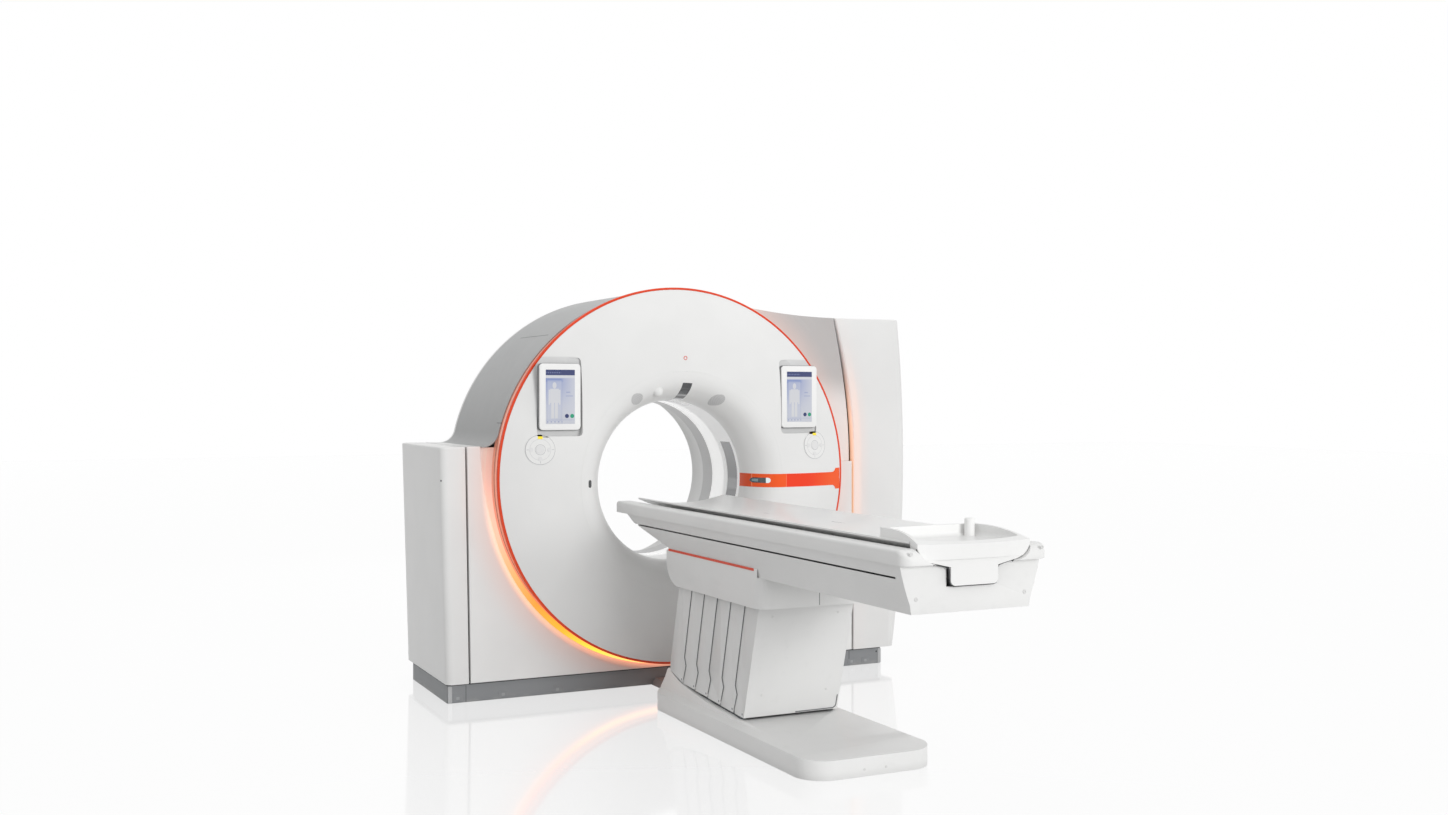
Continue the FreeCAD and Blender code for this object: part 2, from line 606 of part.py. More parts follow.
def front_fascia():
    """The flat lower front round the disc, with a lid strip back along the left cabinet."""
    top = ("-fascia_circle * cos(15)", "ring_height - fascia_circle * sin(15)", "fascia_circle", -1)
    outline = [
        ("-fascia_left_low", "covers_bottom"), ("gap_line", "covers_bottom"),
        ("gap_line", "wing_bottom"),
        ("sqrt(fascia_circle^2 - (wing_bottom - ring_height)^2)", "wing_bottom"),
        top,
        ("-fascia_corner", "left_top", "fascia_sweep", -1),
        ("-fascia_left_high", "left_top"),
    ]
    front = -number("fascia_ahead")
    face = rounded("fascia_soft", panel("fascia_block", outline, "fascia_ahead",
                                        "fascia_depth - fascia_ahead"),
                   "fascia_edge", lambda edge: lies_at(edge, "y", front))
    hollow = inset("fascia_hollow", outline, "housing_wall", "fascia_ahead - housing_wall",
                   "fascia_depth + 5 - fascia_ahead")
    reflector = cut("reflector", panel("reflector_plate", [
        ("1 - fascia_left_low", "covers_bottom + 1"), ("gap_line - 1", "covers_bottom + 1"),
        ("gap_line - 1", "wing_bottom - 1"), ("0", "wing_bottom - 1"),
        ("0", "left_top - housing_wall - 1"), ("1 - fascia_left_high", "left_top - housing_wall - 1"),
    ], "fascia_ahead - reflector_depth", "reflector_depth + reflector_wall - fascia_ahead"),
                    rod("reflector_circle", "hoop_flange + 2 * seat_gap", "fascia_ahead", "0",
                        up="ring_height"))
    strip = block("fascia_lid", "-fascia_left_high", f"-{FILLET_ACROSS} - seat_gap",
                  "fascia_ahead - fascia_depth + 3", "drum_behind - seat_gap", "left_top - housing_wall",
                  "left_top")
    finished("front_fascia", fuse("fascia", cut("fascia_pan", face, hollow), reflector, strip))


def wing_cover():
    """The hollowed panel between the ring and the right cabinet, scooped all round the ring."""
    top = housing_top()
    outline = [
        ("sweep_start", "wing_bottom + seat_gap"), ("gap_line", "wing_bottom + seat_gap"),
        ("gap_line_top", "right_top", GAP_SWEEP, 1),
        top[2][:2] + ("sweep_radius", -1),
    ]
    solid = panel("wing_block", outline, "fascia_ahead", "wing_depth - fascia_ahead")
    ring = rod("wing_ring", "fascia_circle", "fascia_ahead + 5", "0", up="ring_height")
    cove = DOC.addObject("Part::Torus", "wing_cove")
    cove.Placement.Rotation = Rotation(Vector(1, 0, 0), -90)
    tie(cove, Radius1="wing_cove_middle", Radius2="wing_cove_radius")
    place(cove, "0", "wing_cove_depth - fascia_ahead - wing_cove_radius", "ring_height")
    hollow = inset("wing_hollow", outline, "wing_wall", "fascia_ahead - wing_cove_depth - wing_wall",
                   "wing_depth + 5 - fascia_ahead")
    inner = cut("wing_hollow_open", hollow,
                rod("wing_ring_wall", "fascia_circle + wing_wall", "fascia_ahead + 10", "0",
                    up="ring_height"))
    finished("wing_cover", cut("wing_shell", solid, ring, cove, inner))


def cabinet(name, outline, edges, radius, inner_wall):
    """A side cabinet's cover: a deep pan, rounded in front, open towards the rotor and behind it."""
    front = -number("fascia_ahead")
    solid = panel(name + "_block", outline, "fascia_ahead", "covers_behind")
    soft = rounded(name + "_soft", solid, radius, edges)
    crisp = rounded(name + "_crisp", soft, "top_edge",
                    lambda edge: lies_at(edge, "y", front) and edge.BoundBox.ZMin > 200
                    and edge.Length > 60)
    hollow = inset(name + "_hollow", outline, "housing_wall", "fascia_ahead - housing_wall",
                   "covers_behind - housing_wall")
    room = rounded(name + "_room", hollow, f"{radius} - housing_wall", edges)
    finished(name, cut(name + "_shell", crisp, room, inner_wall))


def left_cabinet():
    outline = [
        ("-left_low", "covers_bottom"), ("-fascia_left_low - panel_gap", "covers_bottom"),
        ("-fascia_left_high - panel_gap", "left_top"), ("-left_high", "left_top"),
    ]
    middle = -number("left_low + left_high") / 2
    opening = block("left_opening", "-fascia_left_high - panel_gap - 15", "-fascia_left_low + 20",
                    "fascia_ahead - fascia_depth", "covers_behind - housing_wall",
                    "covers_bottom + housing_wall", "left_top - housing_wall")
    cabinet("left_cabinet", outline,
            lambda edge: edge.Length > 900 and edge.CenterOfMass.x < middle + 5, "left_edge", opening)


def right_cabinet():
    outline = [
        ("gap_line + panel_gap", "covers_bottom"), ("right_low", "covers_bottom"),
        ("right_high", "right_top", "right_bulge", 1),
        ("gap_line_top + panel_gap", "right_top"),
        ("gap_line + panel_gap", "wing_bottom", GAP_SWEEP, -1),
    ]
    opening = block("right_opening", "gap_line_top - 10", "gap_line + panel_gap + 15",
                    "fascia_ahead - fascia_depth", "covers_behind - housing_wall",
                    "covers_bottom + housing_wall", "right_top - housing_wall")
    cabinet("right_cabinet", outline,
            lambda edge: edge.Length > 900 and edge.CenterOfMass.x > number("right_low"), "right_edge",
            opening)


def rear_cover():
    """The back of the housing with the rear mouth of the bore."""
    right = ("gap_line", "wing_bottom", GAP_SWEEP, -1)
    outline = ([("-fascia_left_low", "covers_bottom"), ("-fascia_left_high", "left_top")] + housing_top()
               + [right, ("gap_line", "covers_bottom")])
    rear = number("covers_behind")
    solid = rounded("rear_soft", panel("rear_block", outline, "rear_depth - seat_gap - covers_behind",
                                       "covers_behind"),
                    "top_edge", lambda edge: lies_at(edge, "y", rear))
    hollow = inset("rear_hollow", outline, "housing_wall", "rear_depth + 5 - covers_behind",
                   "covers_behind - housing_wall")
    reach = "(covers_behind - bore_behind - rear_funnel_bend)"
    drop = f"({EXIT} - (rear_funnel_radius - bore_radius))"
    seen = f"({EXIT} / ({EXIT} - rear_funnel_bend))"
    hidden = f"(({EXIT} - housing_wall) / ({EXIT} - rear_funnel_bend))"
    mouth = turned("rear_mouthpiece", [
        ("covers_behind", "rear_funnel_radius", "rear_funnel_bend", -1),
        ("covers_behind - housing_wall", "rear_funnel_radius"),
        (f"bore_behind + {reach} * {hidden}", f"bore_radius + {EXIT} - {drop} * {hidden}",
         "rear_funnel_bend - housing_wall", 1),
        ("bore_behind", "bore_radius + housing_wall", f"{EXIT} - housing_wall", 1),
        ("bore_behind", "bore_radius"),
        (f"bore_behind + {reach} * {seen}", f"bore_radius + {EXIT} - {drop} * {seen}", EXIT, -1),
    ])
    finished("rear_cover", cut("rear_pan", solid, hollow,
                               rod("rear_mouth", "rear_funnel_radius + seat_gap",
                                   "-covers_behind + 60", "covers_behind + 5")))
    finished("rear_funnel", mouth)


def bore_liners():
    """The front and rear liners and the clear film between them, butted end to end."""
    front = tube("front_liner", "bore_radius + liner_wall", "bore_radius", "lip_ahead - seat_gap",
                 "-window_ahead")
    finished("bore_liner_front", cut("front_liner_open", front, laser_slots("slot", "1")))
    finished("scan_window", tube("film", "bore_radius + film_wall + 1", "bore_radius + 1",
                                 "window_ahead - seat_gap", "window_behind - seat_gap"))
    finished("bore_liner_rear", tube("rear_liner", "bore_radius + liner_wall", "bore_radius",
                                     "-window_behind", "bore_behind - seat_gap"))
    finished("laser_windows", common("laser_panes", laser_slots("pane", "seat_gap + 1"),
                                     tube("pane_sheet", "bore_radius + liner_wall", "bore_radius + 0.5",
                                          "lip_ahead", "0")))


def laser_slots(name, gap):
    """Blocks through the liner at its top, left and right, where the laser windows sit."""
    gap = f"({gap})"
    ahead, behind = f"242 - {gap} + 1", f"-126 - {gap} + 1"
    side = block(name + "_side", "bore_radius - 120", "bore_radius + 20", ahead, behind,
                 f"iso_height - 100 + {gap}", f"iso_height + 190 - {gap}")
    top = block(name + "_top", f"{gap} - 150", f"150 - {gap}", ahead, behind,
                "iso_height + bore_radius - 60", "iso_height + bore_radius + 20")
    return fuse(name + "_all", both_sides(name + "_sides", side), top)


# ---------------------------------------------------------------- gantry frame and plinth

def base_frame():
    """The welded frame: floor plate, beams, cover rails, outriggers and the hoop behind the disc."""
    seat = "covers_bottom - seat_gap"
    rail_ahead = "fascia_ahead - fascia_depth - seat_gap"
    pieces = [
        block("floor_plate", "-frame_left", "frame_right", "frame_ahead", "frame_behind", "0",
              "plate_thick"),
        block("front_beam", "-frame_left", "frame_right", "frame_ahead", "beam_width - frame_ahead",
              "0", "beam_height"),
        block("rear_beam", "-frame_left", "frame_right", "beam_width - frame_behind", "frame_behind",
              "0", "beam_height"),
        block("front_rail", "-rail_left", "rail_right", rail_ahead, "5 - frame_ahead", "plate_thick",
              "rail_top"),
        block("front_foot", "-rail_left", "rail_right", "plinth_ahead - plinth_wall - seat_gap",
              "5 - frame_ahead", "0", "beam_height"),
        block("rear_wall", "-rail_left", "rail_right", "10 - frame_behind", "frame_behind",
              "plate_thick", "rail_top"),
        block("rear_rail", "-rail_left", "rail_right", "5 - frame_behind", "covers_behind - rear_depth",
              "plinth_height + 5", "rail_top"),
        block("left_outrigger", "-frame_left", "20 - rail_left", "frame_ahead", "frame_behind",
              "plate_thick", seat),
        block("right_outrigger", "rail_right + 35", "frame_right", "frame_ahead", "frame_behind",
              "plate_thick", seat),
        tube("hoop_light", "side_radius - 1 - light_wall - seat_gap", "hoop_inner",
             "side_ahead - seat_gap", "hoop_behind", "ring_height"),
        tube("hoop_drum", "hoop_flange", "hoop_inner", "light_ahead - seat_gap - 2", "hoop_behind",
             "ring_height"),
    ]
    for side in (-1, 1):
        middle = f"{side} * post_offset"
        pieces.append(block("post_%s" % ("left" if side < 0 else "right"), f"{middle} - post_width / 2",
                            f"{middle} + post_width / 2", "-hoop_behind + 5", "-frame_ahead + 45",
                            "plate_thick", "ring_height - sqrt(920^2 - post_offset^2)"))
    finished("base_frame", fuse("gantry_frame", *pieces))


def plinth_skirt():
    outer = block("plinth_outer", "-plinth_left", "plinth_right", "plinth_ahead", "plinth_behind", "0",
                  "plinth_height")
    inner = block("plinth_inner", "plinth_wall - plinth_left", "plinth_right - plinth_wall",
                  "plinth_ahead - plinth_wall", "plinth_behind - plinth_wall", "-5", "plinth_height + 5")

    def upright(edge):
        return edge.BoundBox.ZLength > number("plinth_height") - 1

    finished("plinth_skirt", cut("plinth", rounded("plinth_soft", outer, "plinth_corner", upright),
                                 rounded("plinth_room", inner, "plinth_corner - plinth_wall", upright)))


def cable_duct():
    """The low duct on the floor between the plinth and the table's base."""
    outline = [("-duct_half", "0"), ("duct_half", "0"), ("duct_top_half", "duct_height"),
               ("-duct_top_half", "duct_height")]
    bar = panel("duct_block", outline, "table_gantry_end - seat_gap", "-(plinth_ahead + seat_gap)")
    bore = inset("duct_bore", outline, "housing_wall", "table_gantry_end + 5", "-(plinth_ahead - 5)")
    finished("cable_duct", cut("duct", bar, bore))


def cabinet_units():
    """Power electronics in the left cabinet and the control rack in the right one."""
    floor = "covers_bottom + housing_wall + seat_gap"
    left = block("power_unit", "-left_low + 25", "-fascia_left_high", "200", "380", floor, "1120")
    right = block("control_unit", "gap_line + 40", "right_low - 45", "200", "380", floor, "1600")
    pair = DOC.addObject("Part::Compound", "units")
    pair.Links = [left, right]
    finished("cabinet_units", pair)


# ---------------------------------------------------------------- rotor and its bearing

def stator_frame():
    """The upright plate on the base frame with the main bearing's outer race and the brushes."""
    plate = tube("stator_plate", "stator_outer", "stator_inner", "stator_ahead", "stator_behind")
    legs = both_sides("stator_legs", block("stator_leg", "leg_offset - leg_width / 2",
                                           "leg_offset + leg_width / 2", "stator_ahead",
                                           "stator_behind", "plate_thick", "leg_top"))
    finished("stator_frame", fuse("stator", plate, legs))
    finished("bearing_outer_race", tube("outer_ring", "race_outer", "race_radius", "race_ahead - 25",
                                        "-stator_ahead"))
    finished("brush_block", block("brushes", "-60", "60", "-slip_behind - seat_gap", "-stator_ahead",
                                  "iso_height - slip_outer + 5", "iso_height - stator_inner - 2"))


def rotor_frame():
    """The turning frame: plate with lightening holes, rim, hub and the bearing's inner race."""
    plate = tube("rotor_disc", "rotor_rim", "hub_inner", "-rotor_face", "rotor_face + rotor_plate")
    rim = tube("rotor_rim_ring", "rotor_rim", "rotor_rim - rim_wall", "rim_ahead_end",
               "rotor_face + 5")
    hub = tube("rotor_hub", "hub_inner + hub_wall", "hub_inner", "hub_ahead", "rotor_face + 5")
    race = tube("inner_race", "race_radius - race_fit", "race_inner", "5 - rotor_face - rotor_plate",
                "race_behind")
    holes = []
    for index in range(8):
        angle = 45 * index + 22.5
        holes.append(rod(f"lighten_{index}", "lighten_radius", "10 - rotor_face",
                         "rotor_face + rotor_plate + 10", f"lighten_circle * cos({angle})",
                         f"iso_height + lighten_circle * sin({angle})"))
    finished("rotor_frame", cut("rotor", fuse("rotor_solid", plate, rim, hub, race), *holes))


def xray_chain():
    """Tube housing with its mount, the collimator below it and the detector arc opposite."""
    centre = "iso_height + tube_centre"
    housing = rod("tube_housing", "tube_radius", "tube_ahead", "rotor_face - 20", up=centre)
    neck = rod("tube_neck", "tube_radius - 45", "tube_ahead + 25", "rotor_face - 30", up=centre)
    cradle = block("tube_cradle", "-tube_radius - 12", "tube_radius + 12", "100", "rotor_face",
                   centre, "iso_height + rotor_rim - rim_wall - 12")
    finished("xray_tube", fuse("tube_unit", housing, neck, cradle))
    finished("collimator", block("collimator_box", "-90", "90", "60", "rotor_face",
                                 "iso_height + tube_centre - tube_radius - 105",
                                 f"{centre} - tube_radius - seat_gap"))
    focus = "(iso_height + focus_height)"
    outline = [
        ("-detector_near * sin(detector_half)", f"{focus} - detector_near * cos(detector_half)"),
        ("-detector_far * sin(detector_half)", f"{focus} - detector_far * cos(detector_half)"),
        ("detector_far * sin(detector_half)", f"{focus} - detector_far * cos(detector_half)",
         "detector_far", 1),
        ("detector_near * sin(detector_half)", f"{focus} - detector_near * cos(detector_half)"),
    ]
    closing = outline[0] + ("detector_near", -1)
    finished("detector_arc", panel("detector", [closing] + outline[1:], "detector_ahead",
                                   "rotor_face"))


def rotor_units():
    """The boxes bolted inside the rim, each square to its own radius."""
    for name, angle, inner, outer, width in (
            ("hv_generator", 148, "unit_inner", "unit_outer", "unit_width"),
            ("cooling_unit", 32, "unit_inner", "unit_outer", "unit_width"),
            ("data_unit", -12, "unit_inner + 60", "unit_outer", "unit_width * 0.6")):
        box = DOC.addObject("Part::Box", name + "_box")
        tie(box, Length=f"({outer}) - ({inner})", Width="unit_ahead + rotor_face", Height=width)
        turn = Rotation(Vector(0, 1, 0), -angle)
        box.Placement.Rotation = turn
        place(box, f"({inner}) * cos({angle}) + ({width}) / 2 * sin({angle})", "-unit_ahead",
              f"iso_height + ({inner}) * sin({angle}) - ({width}) / 2 * cos({angle})")
        finished(name, box)


def slip_ring():
    finished("slip_ring", tube("slip", "slip_outer", "slip_inner", "-rotor_face - rotor_plate",
                               "slip_behind"))


# ---------------------------------------------------------------- table base

def base_block(name, wall):
    """The table's base as a full block, moved in by a wall: plan, side and end outlines together."""
    half, low = f"(table_half - {wall})", "0" if wall == "0" else "-5"
    near, far = f"(table_gantry_end + {wall})", f"(table_foot_end - {wall})"
    bend = f"(table_corner - {wall})"
    small = f"(table_corner * 0.6 - {wall})"
    plan = padded(name + "_plan", "XY", [
        (half, f"{bend} - {far}", bend, 1), (half, f"-{near} - {small}"),
        (f"{half} - {small}", f"-{near}", small, 1), (f"{small} - {half}", f"-{near}"),
        (f"-{half}", f"-{near} - {small}", small, 1), (f"-{half}", f"{bend} - {far}"),
        (f"{bend} - {half}", f"-{far}", bend, 1), (f"{half} - {bend}", f"-{far}"),
    ], low, "hump_height + 20")
    section = panel(name + "_section", [
        (f"-{half}", low), (half, low), (half, f"skirt_height - {wall}"),
        (f"shoulder_half - {wall}", f"shoulder_height - {wall}"),
        (f"hump_half - {wall}", "hump_height"), (f"{wall} - hump_half", "hump_height"),
        (f"{wall} - shoulder_half", f"shoulder_height - {wall}"), (f"-{half}", f"skirt_height - {wall}"),
    ], "table_foot_end + 10", "-(table_gantry_end - 10)")
    side = padded(name + "_side", "YZ", [
        (f"-{far}", low), (f"-{far}", f"foot_height - {wall}"),
        (f"-plate_end - 45", f"skirt_height + 4 - {wall}"),
        (f"-plate_end", f"shoulder_height - {wall}"), ("-1540", f"98 - {wall}"),
        ("-1479", f"105 - {wall}"), ("-986", f"148 - {wall}", "5200", 1),
        ("-822", f"196 - {wall}", "700", 1), ("-803", f"189 - {wall}"),
        (f"-{near}", f"92 - {wall}", "260", 1), (f"-{near}", low),
    ], "-table_half - 5", "table_half + 5")
    return common(name, plan, section, side)


def table_base_cover():
    """The moulded cover of the table's foot, open below and in the well under the lift."""
    well = block("base_well", "-well_half", "well_half", "well_end", "-well_start", "60",
                 "hump_height + 30")
    finished("table_base_cover", cut("base_shell", base_block("base_outer", "0"),
                                     base_block("base_inner", "base_wall"), well))


def pivot(index):
    """Lower pivot of one side plate: its distance ahead and its height."""
    if index == 5:
        return "pivot_last", "pivot_last_height"
    return f"(pivot_first + {index} * pivot_pitch)", f"(pivot_height - {index} * pivot_fall)"


def plate_face(index):
    """Outer face of one side plate, counted from the middle."""
    return f"(plate_outer - {index} * plate_step)"


def table_base_frame():
    """Floor plate, pin rails for the side plates and shaft brackets for the lift arms."""
    half = "table_half - base_wall - seat_gap"
    floor = block("base_plate", f"-({half})", half, "table_foot_end - table_corner - 5",
                  "-(table_gantry_end + 0.6 * table_corner + 3)", "0", "12")
    rail = padded("pin_rail", "YZ", [
        ("-well_end + 5", "10"), ("-well_start - 15", "10"),
        ("-well_start - 15", "pivot_height + 8"),
        ("-pivot_first - 4 * pivot_pitch", "pivot_height + 8 - 4 * pivot_fall"),
        ("-pivot_last - 12", "pivot_last_height + 8"), ("-pivot_last - 12", "pivot_last_height - 6"),
        ("-pivot_last - 6", "pivot_last_height - 12"),
        ("-well_end + 5", "pivot_last_height - 16"),
    ], "link_rail_half - link_rail_wall", "link_rail_half")
    pins = [pin(f"pin_{index}", "pin_radius - pin_fit", "link_rail_half - 5",
                f"{plate_face(index)} - 0.5", *pivot(index)) for index in range(6)]
    side = fuse("pin_side", rail, *pins)
    pieces = [floor, both_sides("pin_sides", side)]
    for name, ahead in (("front", "arm_front"), ("rear", "arm_rear")):
        pieces.append(shaft_bracket(f"low_{name}", ahead, "arm_pivot_height", "10", "arm_pivot_height",
                                    "+"))
    finished("table_base_frame", fuse("base_steel", *pieces))


def shaft_bracket(name, ahead, up, low, high, grow):
    """A shaft across the table with four cheeks that hold it beside the two arm bars."""
    gap = "(arm_wall / 2 + bracket_gap)"
    span = f"arm_offset + {gap} + bracket_wall"
    shaft = pin(name + "_shaft", "shaft_radius - shaft_fit", f"-({span})", span, ahead, up)
    outer = block(name + "_cheek_outer", f"arm_offset + {gap}", span, f"{ahead} + 30", f"30 - {ahead}",
                  low, high)
    inner = block(name + "_cheek_inner", f"arm_offset - {gap} - bracket_wall", f"arm_offset - {gap}",
                  f"{ahead} + 30", f"30 - {ahead}", low, high)
    ends = [pin(f"{name}_eye_{side}", "30", left, right, ahead, up) for side, left, right in (
        ("outer", f"arm_offset + {gap}", span),
        ("inner", f"arm_offset - {gap} - bracket_wall", f"arm_offset - {gap}"))]
    return fuse(name, shaft, both_sides(name + "_cheeks", fuse(name + "_cheek", outer, inner, *ends)))


# ---------------------------------------------------------------- lift

def lift_arm(name, ahead):
    """A pair of parallel bars with bosses at both ends, joined by two cross tubes."""
    low, high = "arm_offset - arm_wall / 2", "arm_offset + arm_wall / 2"
    top_ahead, top_up = f"{ahead} + link_lean", "arm_pivot_height + link_height"
    bar = padded(name + "_bar", "YZ", [
        (f"-({ahead}) - arm_depth / 2", "arm_pivot_height"),
        (f"-({ahead}) + arm_depth / 2", "arm_pivot_height"),
        (f"-({top_ahead}) + arm_depth / 2 - 8", top_up),
        (f"-({top_ahead}) - arm_depth / 2 + 8", top_up),
    ], low, high)
    bosses = [pin(f"{name}_boss_low", "arm_boss", low, high, ahead, "arm_pivot_height"),
              pin(f"{name}_boss_high", "arm_boss - 5", low, high, top_ahead, top_up)]
    bores = [pin(f"{name}_bore_low", "shaft_radius", "-200", "200", ahead, "arm_pivot_height"),
             pin(f"{name}_bore_high", "shaft_radius", "-200", "200", top_ahead, top_up)]
    ties = [pin(f"{name}_tie_{index}", "18", "-arm_offset", "arm_offset", f"{ahead} + link_lean * {share}",
                f"arm_pivot_height + link_height * {share}") for index, share in ((1, 0.3), (2, 0.7))]
    both = both_sides(name + "_bars", fuse(name + "_side", bar, *bosses))
    finished(name, cut(name + "_bored", fuse(name + "_welded", both, *ties), *bores))


def plate_outline(index):
    """Side plate in Y and Z: leaning sides with the kinked foot-side edge, about its lower pivot."""
    ahead, up = pivot(index)

    def at(along, rise):
        return f"{along} - {ahead}", f"{up} + {rise}"

    head = "link_height + plate_head"
    foot_side = ([at("-15", "-14"), at("-173", head)] if index == 5 else
                 [at("-10", "-14"), at("-44", "70"), at("-27", "107"), at("-131.5", "509"),
                  at("-131.5", head)])
    if index == 4:
        last_pin = "(pivot_last_height - pivot_height + 4 * pivot_fall + link_height - pin_radius - 3)"
        clear = "-(pivot_last - pivot_first - 4 * pivot_pitch + link_lean - pin_radius - 4)"
        foot_side[-2:] = [at(f"-27 - 0.26 * ({last_pin} - 107)", last_pin),
                          at(clear, last_pin), at(clear, head)]
    gantry_side = {0: [at("8 - seam_cover", head), at("128", "50"), at("126", "22")],
                   5: [at("6", head), at("92", "90"), at("70", "-10")]}.get(
        index, [at("6", head), at("111", "115"), at("113", "-8")])
    return foot_side + gantry_side


def side_plate(index):
    """One side's plate in its own layer, bored for its two pins."""
    ahead, up = pivot(index)
    face = plate_face(index)
    plate = padded(f"plate_{index}", "YZ", plate_outline(index), f"{face} - plate_wall", face)
    bores = [pin(f"plate_{index}_bore_low", "pin_radius", f"{face} - 10", f"{face} + 10", ahead, up),
             pin(f"plate_{index}_bore_high", "pin_radius", f"{face} - 10", f"{face} + 10",
                 f"{ahead} + link_lean", f"{up} + link_height")]
    return cut(f"plate_{index}_bored", plate, *bores)


def link_covers():
    """The four lamellae and the two folded end covers that close the pedestal's ends."""
    for index in range(1, 5):
        finished(f"lamella_{index}", both_sides(f"lamella_pair_{index}", side_plate(index)))
    for index, name in ((0, "gantry_side_cover"), (5, "foot_side_cover")):
        ahead, up = pivot(index)
        face = plate_face(index)
        outline = plate_outline(index)
        low, high = ((outline[-1], outline[-3]) if index == 0 else (outline[0], outline[1]))
        middle = outline[-2] if index == 0 else None
        steps = [low] + ([middle] if middle else []) + [high]
        shift = "- plate_wall" if index == 0 else "+ plate_wall"
        outline_web = steps + [(f"{along} {shift}", rise) for along, rise in reversed(steps)]
        web = padded(f"{name}_web", "YZ", outline_web, f"-{face}", face)
        finished(name, fuse(f"{name}_folded", both_sides(f"{name}_sides", side_plate(index)), web))


# ---------------------------------------------------------------- saddle and table top

def saddle():
    """The channel that carries the table on the arms: side walls, foot wall, top plate and pins."""
    profile = [
        ("-saddle_foot_end", "saddle_bottom"),
        ("-saddle_gantry_end - saddle_bend", "saddle_bottom"),
        ("-saddle_gantry_end", "saddle_bottom + saddle_bend * 0.75", "saddle_bend * 1.1", 1),
        ("-saddle_gantry_end", "saddle_top - 10"), ("-saddle_gantry_end - 24", "saddle_top"),
        ("-saddle_foot_end", "saddle_top"),
    ]
    whole = padded("saddle_block", "YZ", profile, "-saddle_half", "saddle_half")
    foot = -number("saddle_foot_end")
    soft = rounded("saddle_soft", whole, "saddle_corner",
                   lambda edge: lies_at(edge, "y", foot) and edge.BoundBox.ZLength > 50)
    core = block("saddle_core", "saddle_wall - saddle_half", "saddle_half - saddle_wall",
                 "saddle_foot_end - saddle_wall", "20 - saddle_gantry_end", "saddle_bottom - 5",
                 "body_bottom - saddle_plate")
    core = rounded("saddle_core_soft", core, "saddle_corner - saddle_wall",
                   lambda edge: lies_at(edge, "y", -number("saddle_foot_end - saddle_wall"))
                   and edge.BoundBox.ZLength > 50)
    seat = block("saddle_seat", "saddle_wall - saddle_half", "saddle_half - saddle_wall",
                 "saddle_foot_end + 5", "20 - saddle_gantry_end", "body_bottom", "saddle_top + 5")
    shell = cut("saddle_shell", soft, core, seat)
    pins = []
    for index in range(6):
        ahead, up = pivot(index)
        pins.append(pin(f"saddle_pin_{index}", "pin_radius - pin_fit",
                        f"{plate_face(index)} - plate_wall + 0.5", "saddle_half - saddle_wall + 1",
                        f"{ahead} + link_lean", f"{up} + link_height"))
    brackets = [shaft_bracket(f"high_{name}", f"{ahead} + link_lean", "arm_pivot_height + link_height",
                              "arm_pivot_height + link_height", "body_bottom - saddle_plate + 1", "-")
                for name, ahead in (("front", "arm_front"), ("rear", "arm_rear"))]
    finished("saddle", fuse("saddle_whole", shell, both_sides("saddle_pins", fuse("pin_row", *pins)),
                            *brackets))


def saddle_strip():
    strip = block("strip_side", "saddle_half", "saddle_half + strip_wall",
                  "saddle_foot_end - saddle_corner", "-strip_start", "strip_low", "strip_high")
    finished("saddle_strip", both_sides("strips", strip))


def body_side():
    """The table body from the side."""
    return [("-body_foot_end", "body_bottom"), ("-bow_bottom_end", "body_bottom"),
            ("-bow_low_end", "bow_low"), ("-bow_high_end", "bow_high"),
            ("-body_gantry_end", "body_top"), ("-body_foot_end", "body_top")]


def table_body():
    """The folded trough under the table top, cut back in a bow at the gantry end."""
    outline = [
        ("-body_bottom_half", "body_bottom"), ("body_bottom_half", "body_bottom"),
        ("body_fold_half", "body_fold"), ("body_half", "body_top", "900", 1),
        ("-body_half", "body_top"), ("-body_fold_half", "body_fold", "900", 1),
    ]
    trough = common("body_trough", panel("body_block", outline, "body_foot_end", "-body_gantry_end"),
                    padded("body_profile", "YZ", body_side(), "-body_half - 10", "body_half + 10"))
    inner = inset("body_inner", outline, "body_wall", "body_foot_end - body_wall", "-body_gantry_end")
    inner_side = padded("body_inner_profile", "YZ", [
        (f"{along} {'+' if 'foot' in along else '-'} body_wall", f"{rise} + {grow}")
        for (along, rise), grow in zip(body_side(), ("body_wall", "body_wall", "body_wall + 2",
                                                     "body_wall + 2", "30", "30"))],
                        "-body_half - 10", "body_half + 10")
    top = block("body_top_open", "8 - body_half", "body_half - 8", "body_foot_end - body_wall",
                "-body_gantry_end - 40", "body_top - 12", "body_top + 5")
    grooves = both_sides("body_grooves", block("body_groove", "body_half - 16 - groove_depth",
                                               "body_half + 10", "body_foot_end - 45",
                                               "-bow_high_end - 20", "groove_height - groove_width / 2",
                                               "groove_height + groove_width / 2"))
    notch = block("body_notch", "-channel_half", "channel_half", "body_foot_end + 10",
                  "20 - body_foot_end", "channel_floor", "body_top + 10")
    slopes = panel("body_notch_slope", [("-valley_inner", "body_top"), ("-channel_half", "valley_floor"),
                                        ("channel_half", "valley_floor"), ("valley_inner", "body_top"),
                                        ("valley_inner", "body_top + 10"),
                                        ("-valley_inner", "body_top + 10")],
                   "body_foot_end + 10", "20 - body_foot_end")
    finished("table_body", cut("body_shell", trough, common("body_room", inner, inner_side), top, notch,
                               slopes, grooves))


